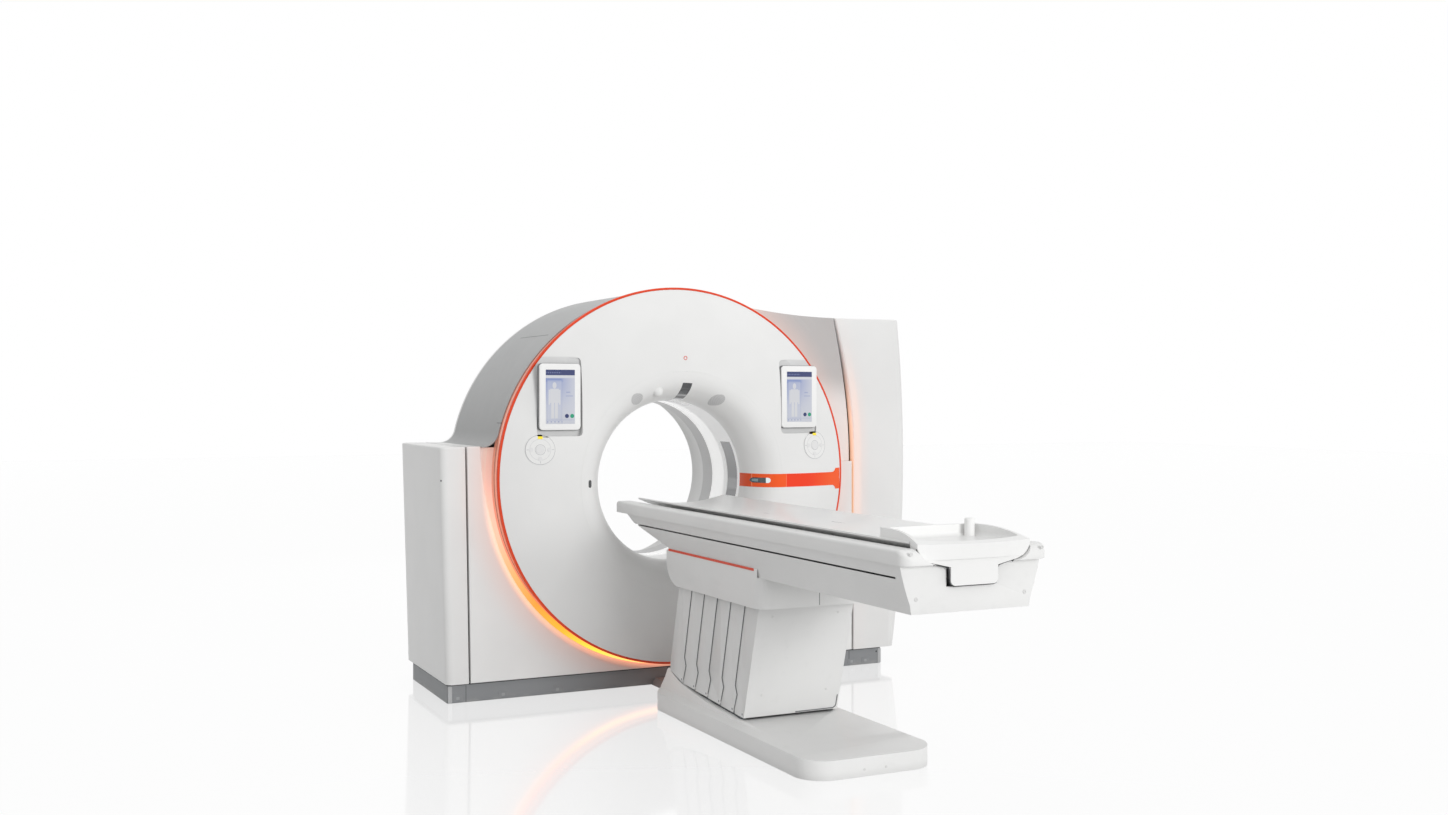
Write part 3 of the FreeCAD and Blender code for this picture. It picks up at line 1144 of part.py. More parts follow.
def table_rim():
    """The two rails of the table top with the valley the cradle runs in, bridged at the gantry end."""
    side = panel("rim_rail", [
        ("valley_inner", "body_top + seat_gap", "valley_bend", -1),
        ("rim_half", "body_top + seat_gap"), ("rim_half", "rim_top - rim_roll"),
        ("rim_half - rim_roll", "rim_top", "rim_roll", 1), ("valley_half", "rim_top"),
    ], "rim_foot_end", "-rim_gantry_end")
    soft = rounded("rim_rail_soft", side, "rim_corner",
                   lambda edge: abs(edge.BoundBox.XLength) < 0.01 and edge.BoundBox.YLength < 0.01
                   and abs(edge.CenterOfMass.x - number("rim_half")) < 0.1)
    bridge = block("rim_bridge_plate", "-valley_inner - 8", "valley_inner + 8",
                   "rim_gantry_end + rim_bridge", "-rim_gantry_end - 20", "body_top - 8",
                   "body_top + 4")
    pad = block("rim_pad", "-60", "60", "rim_gantry_end + rim_bridge + 80",
                "-rim_gantry_end - rim_bridge + 10", "body_top + seat_gap", "cradle_under - seat_gap")
    finished("table_rim", fuse("rim", both_sides("rim_rails", soft), bridge, pad))


def table_rails():
    """The two inner beams that the carriage runs on."""
    rail = block("inner_rail", "rail_offset", "rail_offset + rail_wall", "body_foot_end - 30",
                 "-bow_bottom_end - 20", "body_bottom + body_wall + seat_gap", "rail_height")
    lip = block("inner_lip", "rail_offset - 4", "rail_offset + rail_wall + 12", "body_foot_end - 30",
                "-bow_bottom_end - 20", "rail_height - 8", "rail_height")
    finished("table_rails", both_sides("inner_rails", fuse("inner_beam", rail, lip)))


def feed_drive():
    """Gear motor and drum of the cradle's belt, on the body's floor."""
    floor = "body_bottom + body_wall + seat_gap"
    gearbox = block("feed_gearbox", "-90", "90", "1120", "-1000", floor, "rail_height - 45")
    motor = pin("feed_motor", "38", "-98", "98", "1150", f"{floor} + 38")
    finished("feed_drive", fuse("feed_unit", gearbox, motor))


def cradle_section(grow="0"):
    """The patient board's section: a shallow trough with thin edges."""
    half, top = f"(cradle_half + {grow})", f"(cradle_top + {grow})"
    dip = f"(cradle_top - cradle_dip)"
    deep = f"(cradle_top - cradle_edge - cradle_under)"
    return [
        (f"-{half}", f"cradle_top - cradle_edge - {grow}"),
        ("0", f"cradle_under - {grow}", f"(({half})^2 + {deep}^2) / (2 * {deep})", 1),
        (half, f"cradle_top - cradle_edge - {grow}", f"(({half})^2 + {deep}^2) / (2 * {deep})", 1),
        (half, top),
        ("0", f"cradle_dip + {grow}", f"(({half})^2 + {dip}^2) / (2 * {dip})", -1),
        (f"-{half}", top, f"(({half})^2 + {dip}^2) / (2 * {dip})", -1),
    ]


def cradle():
    """The patient board and the carriage that it rides on at its foot end."""
    finished("cradle_board", panel("board", cradle_section(), "cradle_foot_end", "-cradle_gantry_end"))
    column = block("carriage_column", "-carriage_half", "carriage_half", "cradle_foot_end",
                   "-carriage_start", "rail_height + seat_gap", "cradle_under - seat_gap")
    ears = block("carriage_ears", "-rail_offset - rail_wall", "rail_offset + rail_wall",
                 "cradle_foot_end", "-carriage_start", "rail_height + seat_gap", "rail_height + 14")
    finished("cradle_carriage", fuse("carriage", column, ears))


def foot_tray():
    """The bowl at the foot of the cradle with its apron and tab in front and a peg at its back."""
    plan = padded("tray_plan", "XY", [
        ("-tray_back_half", "-tray_back"), ("-tray_front_half", "-tray_front", "1400", -1),
        ("tray_front_half", "-tray_front", "2400", 1), ("tray_back_half", "-tray_back", "1400", -1),
    ], "cradle_under", "tray_top")
    side = padded("tray_side_view", "YZ", [
        ("-tray_front - 40", "cradle_under"), ("-tray_back + 5", "cradle_under"),
        ("-tray_back + 5", "tray_top"), ("-tray_back - 60", "tray_top"),
        ("-tray_front - 40", "rim_top + 2", "700", 1),
    ], "-tray_front_half - 10", "tray_front_half + 10")
    apron_side = [("apron_half", "body_top + 2"), ("tray_front_half", "rim_top + 1", "valley_bend", 1)]
    valley = panel("tray_section", [
        ("-tray_front_half", "rim_top + 1"), ("-apron_half", "body_top + 2", "valley_bend", 1),
        *apron_side, ("tray_front_half + 20", "rim_top + 30"), ("tray_front_half + 20", "tray_top + 30"),
        ("-tray_front_half - 20", "tray_top + 30"), ("-tray_front_half - 20", "rim_top + 30"),
    ], "tray_front + 60", "-tray_back + 20")
    body = common("tray_body", plan, side, valley)
    bowl = padded("tray_bowl", "XY", [
        ("tray_wall - tray_back_half", "-tray_back - tray_wall"),
        ("tray_wall - tray_front_half", "tray_wall + 12 - tray_front"),
        ("tray_front_half - tray_wall", "tray_wall + 12 - tray_front", "1000", 1),
        ("tray_back_half - tray_wall", "-tray_back - tray_wall"),
    ], "tray_floor", "tray_top + 20")
    bowl = rounded("tray_bowl_soft", bowl, "16", lambda edge: not lies_at(edge, "z",
                                                                         number("tray_top") + 20))
    apron = panel("apron", [
        ("-tray_front_half", "rim_top + 1"), ("-apron_half", "body_top + 2", "valley_bend", 1),
        ("-tab_half", "valley_floor + 2"), ("-tab_half", "tab_bottom + tab_roll"),
        ("tab_roll - tab_half", "tab_bottom", "tab_roll", 1), ("tab_half - tab_roll", "tab_bottom"),
        ("tab_half", "tab_bottom + tab_roll", "tab_roll", 1), ("tab_half", "valley_floor + 2"),
        *apron_side,
    ], "tray_front", "apron_thick - tray_front")
    low = f"cradle_under - 30"
    board = panel("tray_board_room", [(f"-cradle_half - seat_gap", low), ("cradle_half + seat_gap", low)]
                  + cradle_section("seat_gap")[3:], "cradle_foot_end + seat_gap", "0")
    peg = DOC.addObject("Part::Cylinder", "peg")
    tie(peg, Radius="peg_radius", Height="peg_top - tray_floor + 5")
    place(peg, "tray_back_half - 55", "-tray_back - 48", "tray_floor - 5")
    peg = rounded("peg_soft", peg, "7", lambda edge: lies_at(edge, "z", number("peg_top")))
    finished("foot_tray", cut("tray", fuse("tray_whole", cut("tray_hollow", body, bowl), apron, peg),
                              board))


def main():
    """Build every sub-part, check it and write its file."""
    fill_sheet()
    for build in (front_cover, front_funnel, accent_ring, light_ring, name_band, tablets, control_pads,
                  drum_cover, front_fascia, wing_cover, left_cabinet, right_cabinet, rear_cover,
                  bore_liners, base_frame, plinth_skirt, cable_duct, cabinet_units, stator_frame,
                  rotor_frame, xray_chain, rotor_units, slip_ring, table_base_cover, table_base_frame):
        build()
    lift_arm("lift_arm_front", "arm_front")
    lift_arm("lift_arm_rear", "arm_rear")
    for build in (link_covers, saddle, saddle_strip, table_body, table_rim, table_rails, feed_drive,
                  cradle, foot_tray):
        build()
    DOC.recompute()
    failed = [thing.Label for thing in DOC.Objects if {"Invalid", "Error"} & set(thing.State)]
    failed += [part.Label for part in PARTS if part.Shape.isNull() or not part.Shape.isValid()]
    if failed:
        raise RuntimeError("not built: " + ", ".join(failed))
    os.makedirs("parts", exist_ok=True)
    for part in PARTS:
        part.Shape.exportStep("parts/%s.step" % part.Label)
    print("%d sub-parts" % len(PARTS))


main()
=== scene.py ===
"""Looks of a computed-tomography scanner, laid over its packed construction model.

Frame: X to the right seen from the front, Y from the table into the gantry, Z up, in metres.
The construction nodes that keep their shape get a better material. Nodes with folded or cut edges
get a softened copy, and what the construction leaves out is modelled here: screens, keys' marks,
windows, speakers, joints and painted gap shadows, screws, vents and service doors.
"""

import logging
import math
from dataclasses import dataclass, field
from enum import Enum
from typing import Callable, Iterable, Sequence

import bmesh
import bpy
from mathutils import Matrix, Vector


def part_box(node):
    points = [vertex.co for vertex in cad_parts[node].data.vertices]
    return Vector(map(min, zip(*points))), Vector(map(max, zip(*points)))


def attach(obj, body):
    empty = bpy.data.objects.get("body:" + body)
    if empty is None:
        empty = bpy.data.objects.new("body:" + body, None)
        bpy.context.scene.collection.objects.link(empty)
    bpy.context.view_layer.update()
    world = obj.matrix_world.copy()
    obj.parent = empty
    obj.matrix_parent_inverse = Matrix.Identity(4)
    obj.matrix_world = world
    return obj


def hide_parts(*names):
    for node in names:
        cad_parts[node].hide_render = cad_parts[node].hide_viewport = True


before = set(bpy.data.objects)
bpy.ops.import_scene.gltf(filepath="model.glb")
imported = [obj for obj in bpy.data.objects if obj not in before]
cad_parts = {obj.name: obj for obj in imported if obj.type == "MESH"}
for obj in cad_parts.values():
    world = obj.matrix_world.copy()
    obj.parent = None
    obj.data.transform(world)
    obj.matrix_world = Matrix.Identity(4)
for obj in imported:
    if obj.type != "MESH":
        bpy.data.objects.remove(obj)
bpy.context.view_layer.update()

LOG = logging.getLogger("ct_scanner")
ROOT = "gantry_and_base"
Point = tuple[float, float, float]
Colour = tuple[float, float, float]
Paintable = "Signal | Colour | str"
BLACK, WHITE = "000000", "ffffff"


def shade(code: str) -> Colour:
    """Turns a screen colour into the linear one that shaders take.

    Args:
        code: six hexadecimal digits, two for each of red, green and blue.

    Returns:
        The three linear parts.
    """
    parts = (int(code[start:start + 2], 16) / 255 for start in (0, 2, 4))
    return tuple(part / 12.92 if part < 0.04 else ((part + 0.055) / 1.055) ** 2.4
                 for part in parts)


# ------------------------------------------------------------------ shader writing

class Signal:
    """A value that varies over a surface: an output socket with arithmetic."""

    def __init__(self, recipe: "Recipe", socket: bpy.types.NodeSocket) -> None:
        """Keeps the socket and the recipe that it belongs to."""
        self.recipe, self.socket = recipe, socket

    def _math(self, operation: str, *values: "Signal | float") -> "Signal":
        """Adds one Math node.

        Args:
            operation: Blender's name of the operation.
            values: its inputs in order.

        Returns:
            The node's result.
        """
        return self.recipe.node("ShaderNodeMath", {"operation": operation},
                                dict(enumerate(values)))

    def __add__(self, other: "Signal | float") -> "Signal":
        """The sum."""
        return self._math("ADD", self, other)

    __radd__ = __add__

    def __sub__(self, other: "Signal | float") -> "Signal":
        """The difference."""
        return self._math("SUBTRACT", self, other)

    def __rsub__(self, other: float) -> "Signal":
        """The difference with this as what is taken away."""
        return self._math("SUBTRACT", other, self)

    def __mul__(self, other: "Signal | float") -> "Signal":
        """The product, which is also the overlap of two masks."""
        return self._math("MULTIPLY", self, other)

    __rmul__ = __mul__

    def __truediv__(self, other: "Signal | float") -> "Signal":
        """The quotient."""
        return self._math("DIVIDE", self, other)

    def __pow__(self, other: float) -> "Signal":
        """The power."""
        return self._math("POWER", self, other)

    def __abs__(self) -> "Signal":
        """The size without its sign."""
        return self._math("ABSOLUTE", self)

    def __or__(self, other: "Signal | float") -> "Signal":
        """The larger of two, which joins two masks."""
        return self._math("MAXIMUM", self, other)

    def sign(self) -> "Signal":
        """-1 below nought and 1 above it."""
        return self._math("SIGN", self)

    def wave(self, pitch: float) -> "Signal":
        """The distance from the nearest line of a row.

        Args:
            pitch: the spacing of the lines, in metres.

        Returns:
            0 on a line, half the pitch between two lines.
        """
        return self._math("PINGPONG", self, pitch / 2)

    def rise(self, low: float, high: float) -> "Signal":
        """A soft step.

        Args:
            low: where it leaves 0.
            high: where it reaches 1. Below low, the step falls instead.

        Returns:
            The step, from 0 to 1.
        """
        if low > high:
            return 1 - self.rise(high, low)
        return self.recipe.node("ShaderNodeMapRange", {"interpolation_type": "SMOOTHSTEP"},
                                {0: self, 1: low, 2: high, 3: 0.0, 4: 1.0})

    def within(self, middle: float, half: float, soft: float = 0.0004) -> "Signal":
        """A mask of the values near a middle.

        Args:
            middle: the middle of the band.
            half: half its width.
            soft: the width of its edge.

        Returns:
            1 inside the band and 0 outside.
        """
        return abs(self - middle).rise(half + soft, half)


class Recipe:
    """One material's node tree under construction."""

    def __init__(self, name: str) -> None:
        """Starts an empty material.

        Args:
            name: the finish's name.
        """
        self.material = bpy.data.materials.new(name)
        self.material.use_nodes = True
        self.tree = self.material.node_tree
        self.tree.nodes.clear()
        self._place: tuple[Signal, Signal, Signal] | None = None
        self._point: Signal | None = None

    def node(self, kind: str, settings: dict | None = None, values: dict | None = None,
             output: int | str = 0) -> Signal:
        """Adds any node.

        Args:
            kind: the node's type.
            settings: properties that are set first; "stops" fills a colour ramp.
            values: numbers, colours or signals by input.
            output: which output the signal reads.

        Returns:
            The signal of that output.
        """
        made = self.tree.nodes.new(kind)
        for name, value in (settings or {}).items():
            if name == "stops":
                self._fill_ramp(made.color_ramp, value)
            else:
                setattr(made, name, value)
        for key, value in (values or {}).items():
            self._feed(made.inputs[key], value)
        return Signal(self, made.outputs[output])

    @staticmethod
    def _fill_ramp(ramp: bpy.types.ColorRamp, stops: Sequence[tuple[float, Colour]]) -> None:
        """Fills a colour ramp with its stops, from low to high.

        Args:
            ramp: the ramp.
            stops: places from 0 to 1 with their colours.
        """
        ramp.elements.remove(ramp.elements[1])
        ramp.elements[0].position, ramp.elements[0].color = stops[0][0], (*stops[0][1], 1.0)
        for place, colour in stops[1:]:
            ramp.elements.new(place).color = (*colour, 1.0)

    def _feed(self, socket: bpy.types.NodeSocket, value: "Signal | float | Paintable") -> None:
        """Links a signal to an input, or sets its number, colour or colour code.

        Args:
            socket: the input.
            value: what it gets.
        """
        if isinstance(value, str):
            value = shade(value)
        if isinstance(value, Signal):
            self.tree.links.new(value.socket, socket)
        elif isinstance(value, tuple) and len(value) == 3 and socket.type == "RGBA":
            socket.default_value = (*value, 1.0)
        else:
            socket.default_value = value

    @property
    def point(self) -> Signal:
        """The place on the object, as a vector.

        Returns:
            The place, from Object coordinates.
        """
        if self._point is None:
            self._point = self.node("ShaderNodeTexCoord", output="Object")
        return self._point

    @property
    def place(self) -> tuple[Signal, Signal, Signal]:
        """The place on the object: across, along and up.

        Returns:
            Its three parts in metres.
        """
        if self._place is None:
            parts = self.node("ShaderNodeSeparateXYZ", values={0: self.point})
            outputs = parts.socket.node.outputs
            self._place = tuple(Signal(self, outputs[axis]) for axis in range(3))
        return self._place

    def noise(self, size: float, stretch: Point = (1, 1, 1), detail: float = 2.0) -> Signal:
        """Soft random patches.

        Args:
            size: the patches' size in metres.
            stretch: how much longer they are along each axis.
            detail: how many finer layers they have.

        Returns:
            A signal near 0.5.
        """
        scaled = self.node("ShaderNodeMapping", values={
            "Vector": self.point, "Scale": tuple(1 / (size * share) for share in stretch)})
        return self.node("ShaderNodeTexNoise", output="Fac", values={
            "Vector": scaled, "Scale": 1.0, "Detail": detail})

    def mix(self, share: Signal | float, first: Paintable, second: Paintable) -> Signal:
        """Blends two colours, each a signal, a linear colour or a screen colour's code.

        Args:
            share: how much of the second shows.
            first: the colour at 0.
            second: the colour at 1.

        Returns:
            The blended colour.
        """
        return self.node("ShaderNodeMix", {"data_type": "RGBA"}, {0: share, 6: first, 7: second}, 2)

    def lay(self, base: Paintable, *coats: tuple[Signal, Paintable]) -> Signal:
        """Lays colours over each other, each through its own mask.

        Args:
            base: the colour below.
            coats: masks with the colours that they let through, from the lowest up.

        Returns:
            The blended colour.
        """
        for mask, colour in coats:
            base = self.mix(mask, base, colour)
        return base

    def bump(self, height: Signal, depth: float, below: Signal | None = None) -> Signal:
        """Turns a height into surface relief.

        Args:
            height: the relief, from 0 to 1.
            depth: its depth in metres.
            below: relief that this one lies on.

        Returns:
            The normal for the shader.
        """
        values = {"Height": height, "Distance": depth, "Strength": 1.0}
        if below is not None:
            values["Normal"] = below
        return self.node("ShaderNodeBump", values=values)

    def close(self, shader: Signal) -> bpy.types.Material:
        """Joins the shader to the output.

        Args:
            shader: the finished surface.

        Returns:
            The material.
        """
        output = self.tree.nodes.new("ShaderNodeOutputMaterial")
        self.tree.links.new(shader.socket, output.inputs["Surface"])
        return self.material


class Grain(Enum):
    """Which way a finish's fine relief runs."""

    PEEL = (1, 1, 1)
    BRUSHED_ACROSS = (60, 1, 1)
    BRUSHED_ALONG = (1, 60, 1)


@dataclass(frozen=True)
class Finish:
    """A painted, moulded or metal surface with its small unevenness."""

    name: str
    colour: str
    roughness: float = 0.42
    metallic: float = 0.0
    coat: float = 0.0
    wander: float = 0.018
    patch: float = 0.35
    grain: float = 0.0035
    relief: float = 0.00002
    run: Grain = Grain.PEEL
    alpha: float = 1.0
    glow: str = WHITE
    glow_strength: float = 0.0

    def tint(self, recipe: Recipe, base: Signal) -> Signal:
        """Adds what a plain paint lacks; a plain finish keeps its base."""
        return base

    def polish(self, recipe: Recipe, base: Signal) -> Signal:
        """Changes the roughness over the surface; a plain finish keeps it."""
        return base

    def shine(self, recipe: Recipe) -> Paintable:
        """The colour of the light that the surface gives off."""
        return self.glow

    def shape(self, recipe: Recipe, normal: Signal) -> Signal:
        """Adds drawn relief, such as a groove; a plain finish has none."""
        return normal

    def make(self) -> bpy.types.Material:
        """Builds the material.

        Returns:
            The material, ready to assign.
        """
        recipe = Recipe(self.name)
        patches = recipe.noise(self.patch)
        plain = shade(self.colour)
        lighter = tuple(min(part * (1 + self.wander), 1.0) for part in plain)
        darker = tuple(part * (1 - self.wander) for part in plain)
        colour = self.tint(recipe, recipe.mix(patches.rise(0.3, 0.7), darker, lighter))
        fine = recipe.noise(self.grain, self.run.value, 3.0)
        rough = self.polish(recipe, self.roughness + (recipe.noise(self.patch / 6) - 0.5) * 0.12)
        normal = self.shape(recipe, recipe.bump(fine, self.relief))
        values = {"Base Color": colour, "Roughness": rough, "Metallic": self.metallic,
                  "Normal": normal, "Coat Weight": self.coat, "Coat Roughness": 0.12,
                  "Alpha": self.alpha}
        if self.glow_strength:
            values |= {"Emission Color": self.shine(recipe),
                       "Emission Strength": self.glow_strength}
        return recipe.close(recipe.node("ShaderNodeBsdfPrincipled", values=values))


# ------------------------------------------------------------------ places read from the frame

@dataclass(frozen=True)
class Landmarks:
    """Places on the construction that looks are measured from."""

    ring_height: float = sum(corner.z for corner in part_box("accent_ring")) / 2
    axis_height: float = sum(corner.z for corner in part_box("scan_window")) / 2
    ring_radius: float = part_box("accent_ring")[1].x
    disc_radius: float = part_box("front_cover")[1].x
    face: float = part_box("front_cover")[0].y
    rim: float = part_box("accent_ring")[0].y
    fascia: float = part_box("front_fascia")[0].y
    flat_radius: float = 0.584
    pad_offset: float = 0.758
    pad_height: float = 1.227
    tablet_offset: float = 0.660
    tablet_height: float = 1.482
    tablet_face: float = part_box("tablets")[0].y

    @property
    def dome(self) -> float:
        """The radius of the disc's domed margin."""
        reach, drop = self.disc_radius - self.flat_radius, self.rim - self.face
        return (reach ** 2 + drop ** 2) / (2 * drop)

    def disc_along(self, radius: float) -> float:
        """Where the disc's front lies along Y.

        Args:
            radius: the distance from the ring's middle.

        Returns:
            The place along Y.
        """
        beyond = max(radius - self.flat_radius, 0.0)
        return self.face + self.dome - math.sqrt(self.dome ** 2 - beyond ** 2)

    def pad_frame(self, side: int) -> tuple[Vector, Vector]:
        """A control pad's middle and outward direction.

        Args:
            side: -1 for the left pad and 1 for the right one.

        Returns:
            The middle on the disc, and the unit normal there.
        """
        rise = self.pad_height - self.ring_height
        radius = math.hypot(self.pad_offset, rise)
        slope = (radius - self.flat_radius) / self.dome
        outward = Vector((side * slope * self.pad_offset / radius, -math.sqrt(1 - slope ** 2),
                          slope * rise / radius))
        return Vector((side * self.pad_offset, self.disc_along(radius), self.pad_height)), outward


MARKS = Landmarks()


def round_ring(recipe: Recipe) -> tuple[Signal, Signal]:
    """Measures the place on the housing round the ring.

    Args:
        recipe: the material that asks.

    Returns:
        The distance from the ring's middle, and how far it points down, from -1 to 1.
    """
    across, _, up = recipe.place
    low = MARKS.ring_height - up
    radius = (across * across + low * low) ** 0.5
    return radius, low / radius


# ------------------------------------------------------------------ finishes of the gantry

@dataclass(frozen=True)
class PaintedRingGlow(Finish):
    """White paint with the ring light's glow painted into its colour and its emission.

    The light's gap begins at the radius "start". Its painted glow reaches over "reach", the painted
    lit edge beside it over "edge", and the thin one at the right over "right_edge".
    """

    start: float = 0.9725
    reach: float = 0.17
    edge: float = 0.042
    right_edge: float = 0.014
    glow_stops: tuple[tuple[float, str], ...] = (
        (0.0, "e3c0b4"), (0.3, "efb49c"), (0.5, "ffa566"), (0.66, "ff9426"), (0.8, "ffac18"),
        (0.91, "ffd748"), (1.0, "ffd08a"))
    lit_edge_stops: tuple[tuple[float, str], ...] = (
        (0.0, "ffe6d8"), (0.5, "ffdcba"), (0.75, "ffc9a2"), (0.9, "ffb692"), (1.0, "f9b193"))

    @staticmethod
    def round_colour(recipe: Recipe, stops: tuple[tuple[float, str], ...]) -> Signal:
        """A colour that changes from the ring's side to its foot.

        Args:
            recipe: the material that asks.
            stops: places from 0 to 1 with their colour codes.

        Returns:
            The colour.
        """
        _, fall = round_ring(recipe)
        filled = tuple((place, shade(code)) for place, code in stops)
        return recipe.node("ShaderNodeValToRGB", {"stops": filled}, {0: fall})

    @staticmethod
    def leftward(recipe: Recipe) -> Signal:
        """A mask of all but the housing's right part."""
        across, _, _ = recipe.place
        return across.rise(0.6, 0.5)

    def near(self, recipe: Recipe, reach: float) -> Signal:
        """How near the ring light's gap a place of the front is, from 0 to 1.

        Args:
            recipe: the material that asks.
            reach: how far from the gap the mask fades out, in metres.

        Returns:
            The mask.
        """
        radius, _ = round_ring(recipe)
        _, along, _ = recipe.place
        front = along.rise(MARKS.fascia + 0.09, MARKS.fascia + 0.02)
        return radius.rise(self.start + reach, self.start) * front

    def channel(self, recipe: Recipe) -> Signal:
        """A mask of the lit gap round the ring.

        Args:
            recipe: the material that asks.

        Returns:
            The mask.
        """
        radius, fall = round_ring(recipe)
        _, along, _ = recipe.place
        inside = along.rise(MARKS.fascia + 0.008, MARKS.fascia + 0.014)
        return radius.rise(self.start + 0.001, self.start - 0.001) * inside * fall.rise(-0.25, -0.1)

    def tint(self, recipe: Recipe, base: Signal) -> Signal:
        """Paints the ring light's glow into the colour towards the gap.

        Args:
            recipe: the material that asks.
            base: the colour below.

        Returns:
            The colour with it.
        """
        left = self.leftward(recipe)
        # Painted light: a pale wash near the gap, the lit left edge, the thin lit right edge and
        # the glowing gap.
        return recipe.lay(
            base,
            (self.near(recipe, self.reach) * 0.45, "f3d3c9"),
            (self.near(recipe, self.edge) * left * 0.85,
             self.round_colour(recipe, self.lit_edge_stops)),
            (self.near(recipe, self.right_edge) * (1 - left) * 0.8, "f2a88e"),
            (self.channel(recipe), self.round_colour(recipe, self.glow_stops)))

    def shine(self, recipe: Recipe) -> Signal:
        """The painted glow that the gap and the edge beside it give off.

        Args:
            recipe: the material that asks.

        Returns:
            The light's colour.
        """
        _, fall = round_ring(recipe)
        near, left = self.near(recipe, self.edge), self.leftward(recipe)
        # Painted glow given off by the lit edge and the gap, though neither is a lamp.
        passed = (near ** 1.5 * fall.rise(-0.1, 0.3) * 0.42 + near ** 2.0 * 0.10) * left
        lit = self.channel(recipe) * (fall.rise(-0.1, 0.6) * 0.45 + 0.35)
        return recipe.lay(BLACK, (passed, self.round_colour(recipe, self.lit_edge_stops)),
                          (lit, self.round_colour(recipe, self.glow_stops)))


@dataclass(frozen=True)
class WingPaint(PaintedRingGlow):
    """White paint of the hollow wing, with shade painted over its upper part."""

    painted_shade_from: float = 1.42
    painted_shade_to: float = 1.62

    def tint(self, recipe: Recipe, base: Signal) -> Signal:
        """Paints shade over the upper part before the ring light's painted glow goes on.

        Args:
            recipe: the material that asks.
            base: the colour below.

        Returns:
            The colour with it.
        """
        _, _, up = recipe.place
        # Painted shade: the upper part of the hollow turns grey.
        shaded = recipe.mix(up.rise(self.painted_shade_from, self.painted_shade_to), base, "bdbbba")
        return super().tint(recipe, shaded)


@dataclass(frozen=True)
class SidePaint(PaintedRingGlow):
    """The right cabinet's white, with the ring light's glow painted along its left edge.

    The edge stands upright at "edge_across" and bends to the left above "curve_start".
    """

    edge_across: float = 1.100
    curve_start: float = 1.130
    curve: float = 0.1965

    def from_edge(self, recipe: Recipe) -> Signal:
        """The distance to the right of the cabinet's curved left edge.

        Args:
            recipe: the material that asks.

        Returns:
            The distance in metres.
        """
        across, _, up = recipe.place
        above = (up - self.curve_start) | 0.0
        return across - self.edge_across + above * above * self.curve

    @staticmethod
    def near_middle(recipe: Recipe, far: float, close: float) -> Signal:
        """A mask that fades upwards and downwards from the ring's middle."""
        _, _, up = recipe.place
        return abs(up - MARKS.ring_height).rise(far, close)

    def tint(self, recipe: Recipe, base: Signal) -> Signal:
        """Paints the ring light's cream and rose glow, fading from the left edge.

        Args:
            recipe: the material that asks.
            base: the colour below.

        Returns:
            The colour with it.
        """
        _, along, _ = recipe.place
        front = along.rise(MARKS.fascia + 0.06, MARKS.fascia + 0.01)
        middle, edge = self.near_middle(recipe, 0.75, 0.25), self.from_edge(recipe)
        return recipe.lay(
            base,
            (edge.rise(0.12, 0.02) * front * (middle * 0.6 + 0.1), "f3e2dd"),
            (edge.rise(0.062, 0.030) * front * middle * 0.8, "ffe9df"))

    def shine(self, recipe: Recipe) -> Signal:
        """A thin line of painted light on the edge itself.

        Args:
            recipe: the material that asks.

        Returns:
            The light's colour.
        """
        _, along, _ = recipe.place
        line = self.from_edge(recipe).rise(0.004, 0.0005) * along.rise(-0.20, -0.27)
        return recipe.mix(line * self.near_middle(recipe, 0.62, 0.2) * 0.35, BLACK,
                          "ffb26a")


@dataclass(frozen=True)
class RingLight(Finish):
    """The light guide: a pale stripe in front and deeper salmon behind it."""

    stripe: float = -0.332

    def stripes(self, recipe: Recipe, base: Paintable) -> Signal:
        """Lays the stripes by their place along the guide.

        Args:
            recipe: the material that asks.
            base: the colour below.

        Returns:
            The colour with it.
        """
        _, along, _ = recipe.place
        return recipe.lay(base, (along.rise(self.stripe + 0.006, self.stripe + 0.016), "cc8b76"),
                          (along.within(self.stripe, 0.0045, 0.0025), "efc3b2"))

    def tint(self, recipe: Recipe, base: Signal) -> Signal:
        """The stripes on the guide."""
        return self.stripes(recipe, base)

    def shine(self, recipe: Recipe) -> Signal:
        """The stripes' own faint light."""
        return self.stripes(recipe, self.colour)


@dataclass(frozen=True)
class DiscPaint(Finish):
    """The disc's satin white, with shade painted into the pockets of the tablets."""

    def tint(self, recipe: Recipe, base: Signal) -> Signal:
        """Paints shade into the pockets where the surface turns in.

        Args:
            recipe: the material that asks.
            base: the colour below.

        Returns:
            The colour with it.
        """
        across, along, up = recipe.place
        # Painted shade in the tablets' pockets.
        pocket = (along.rise(-0.447, -0.441) * up.within(MARKS.tablet_height, 0.19, 0.01)
                  * abs(across).within(MARKS.tablet_offset, 0.113, 0.01))
        return recipe.mix(pocket * 0.35, base, "a9aaac")


@dataclass(frozen=True)
class DrumPaint(Finish):
    """The drum sheet's silver paint with its two short seams and shade painted towards its foot.

    Each seam has a height, a middle along Y, half its length and the softness of its ends.
    """

    seam_places: tuple[tuple[float, float, float, float], ...] = (
        (1.793, 0.04, 0.22, 0.004), (1.354, -0.27, 0.035, 0.003))

    def seams(self, recipe: Recipe) -> Signal:
        """A mask of the grip slot and of the joint near the ring.

        Args:
            recipe: the material that asks.

        Returns:
            The mask.
        """
        across, along, up = recipe.place
        grip, joint = (up.within(height, 0.0016) * along.within(middle, half, soft)
                       for height, middle, half, soft in self.seam_places)
        return (grip | joint) * across.rise(-0.1, -0.2)

    def tint(self, recipe: Recipe, base: Signal) -> Signal:
        """Darkens the seams, and paints shade over the silver towards the foot.

        Args:
            recipe: the material that asks.
            base: the colour below.

        Returns:
            The colour with it.
        """
        _, _, up = recipe.place
        # Painted shade: the silver is darker towards the foot.
        darker = tuple(part * 0.86 for part in shade(self.colour))
        shaded = recipe.mix(up.rise(1.25, 1.6), darker, base)
        return recipe.mix(self.seams(recipe) * 0.75, shaded, "5a5c5f")

    def shape(self, recipe: Recipe, normal: Signal) -> Signal:
        """Cuts the seams into the sheet."""
        return recipe.bump(1 - self.seams(recipe), 0.0015, normal)


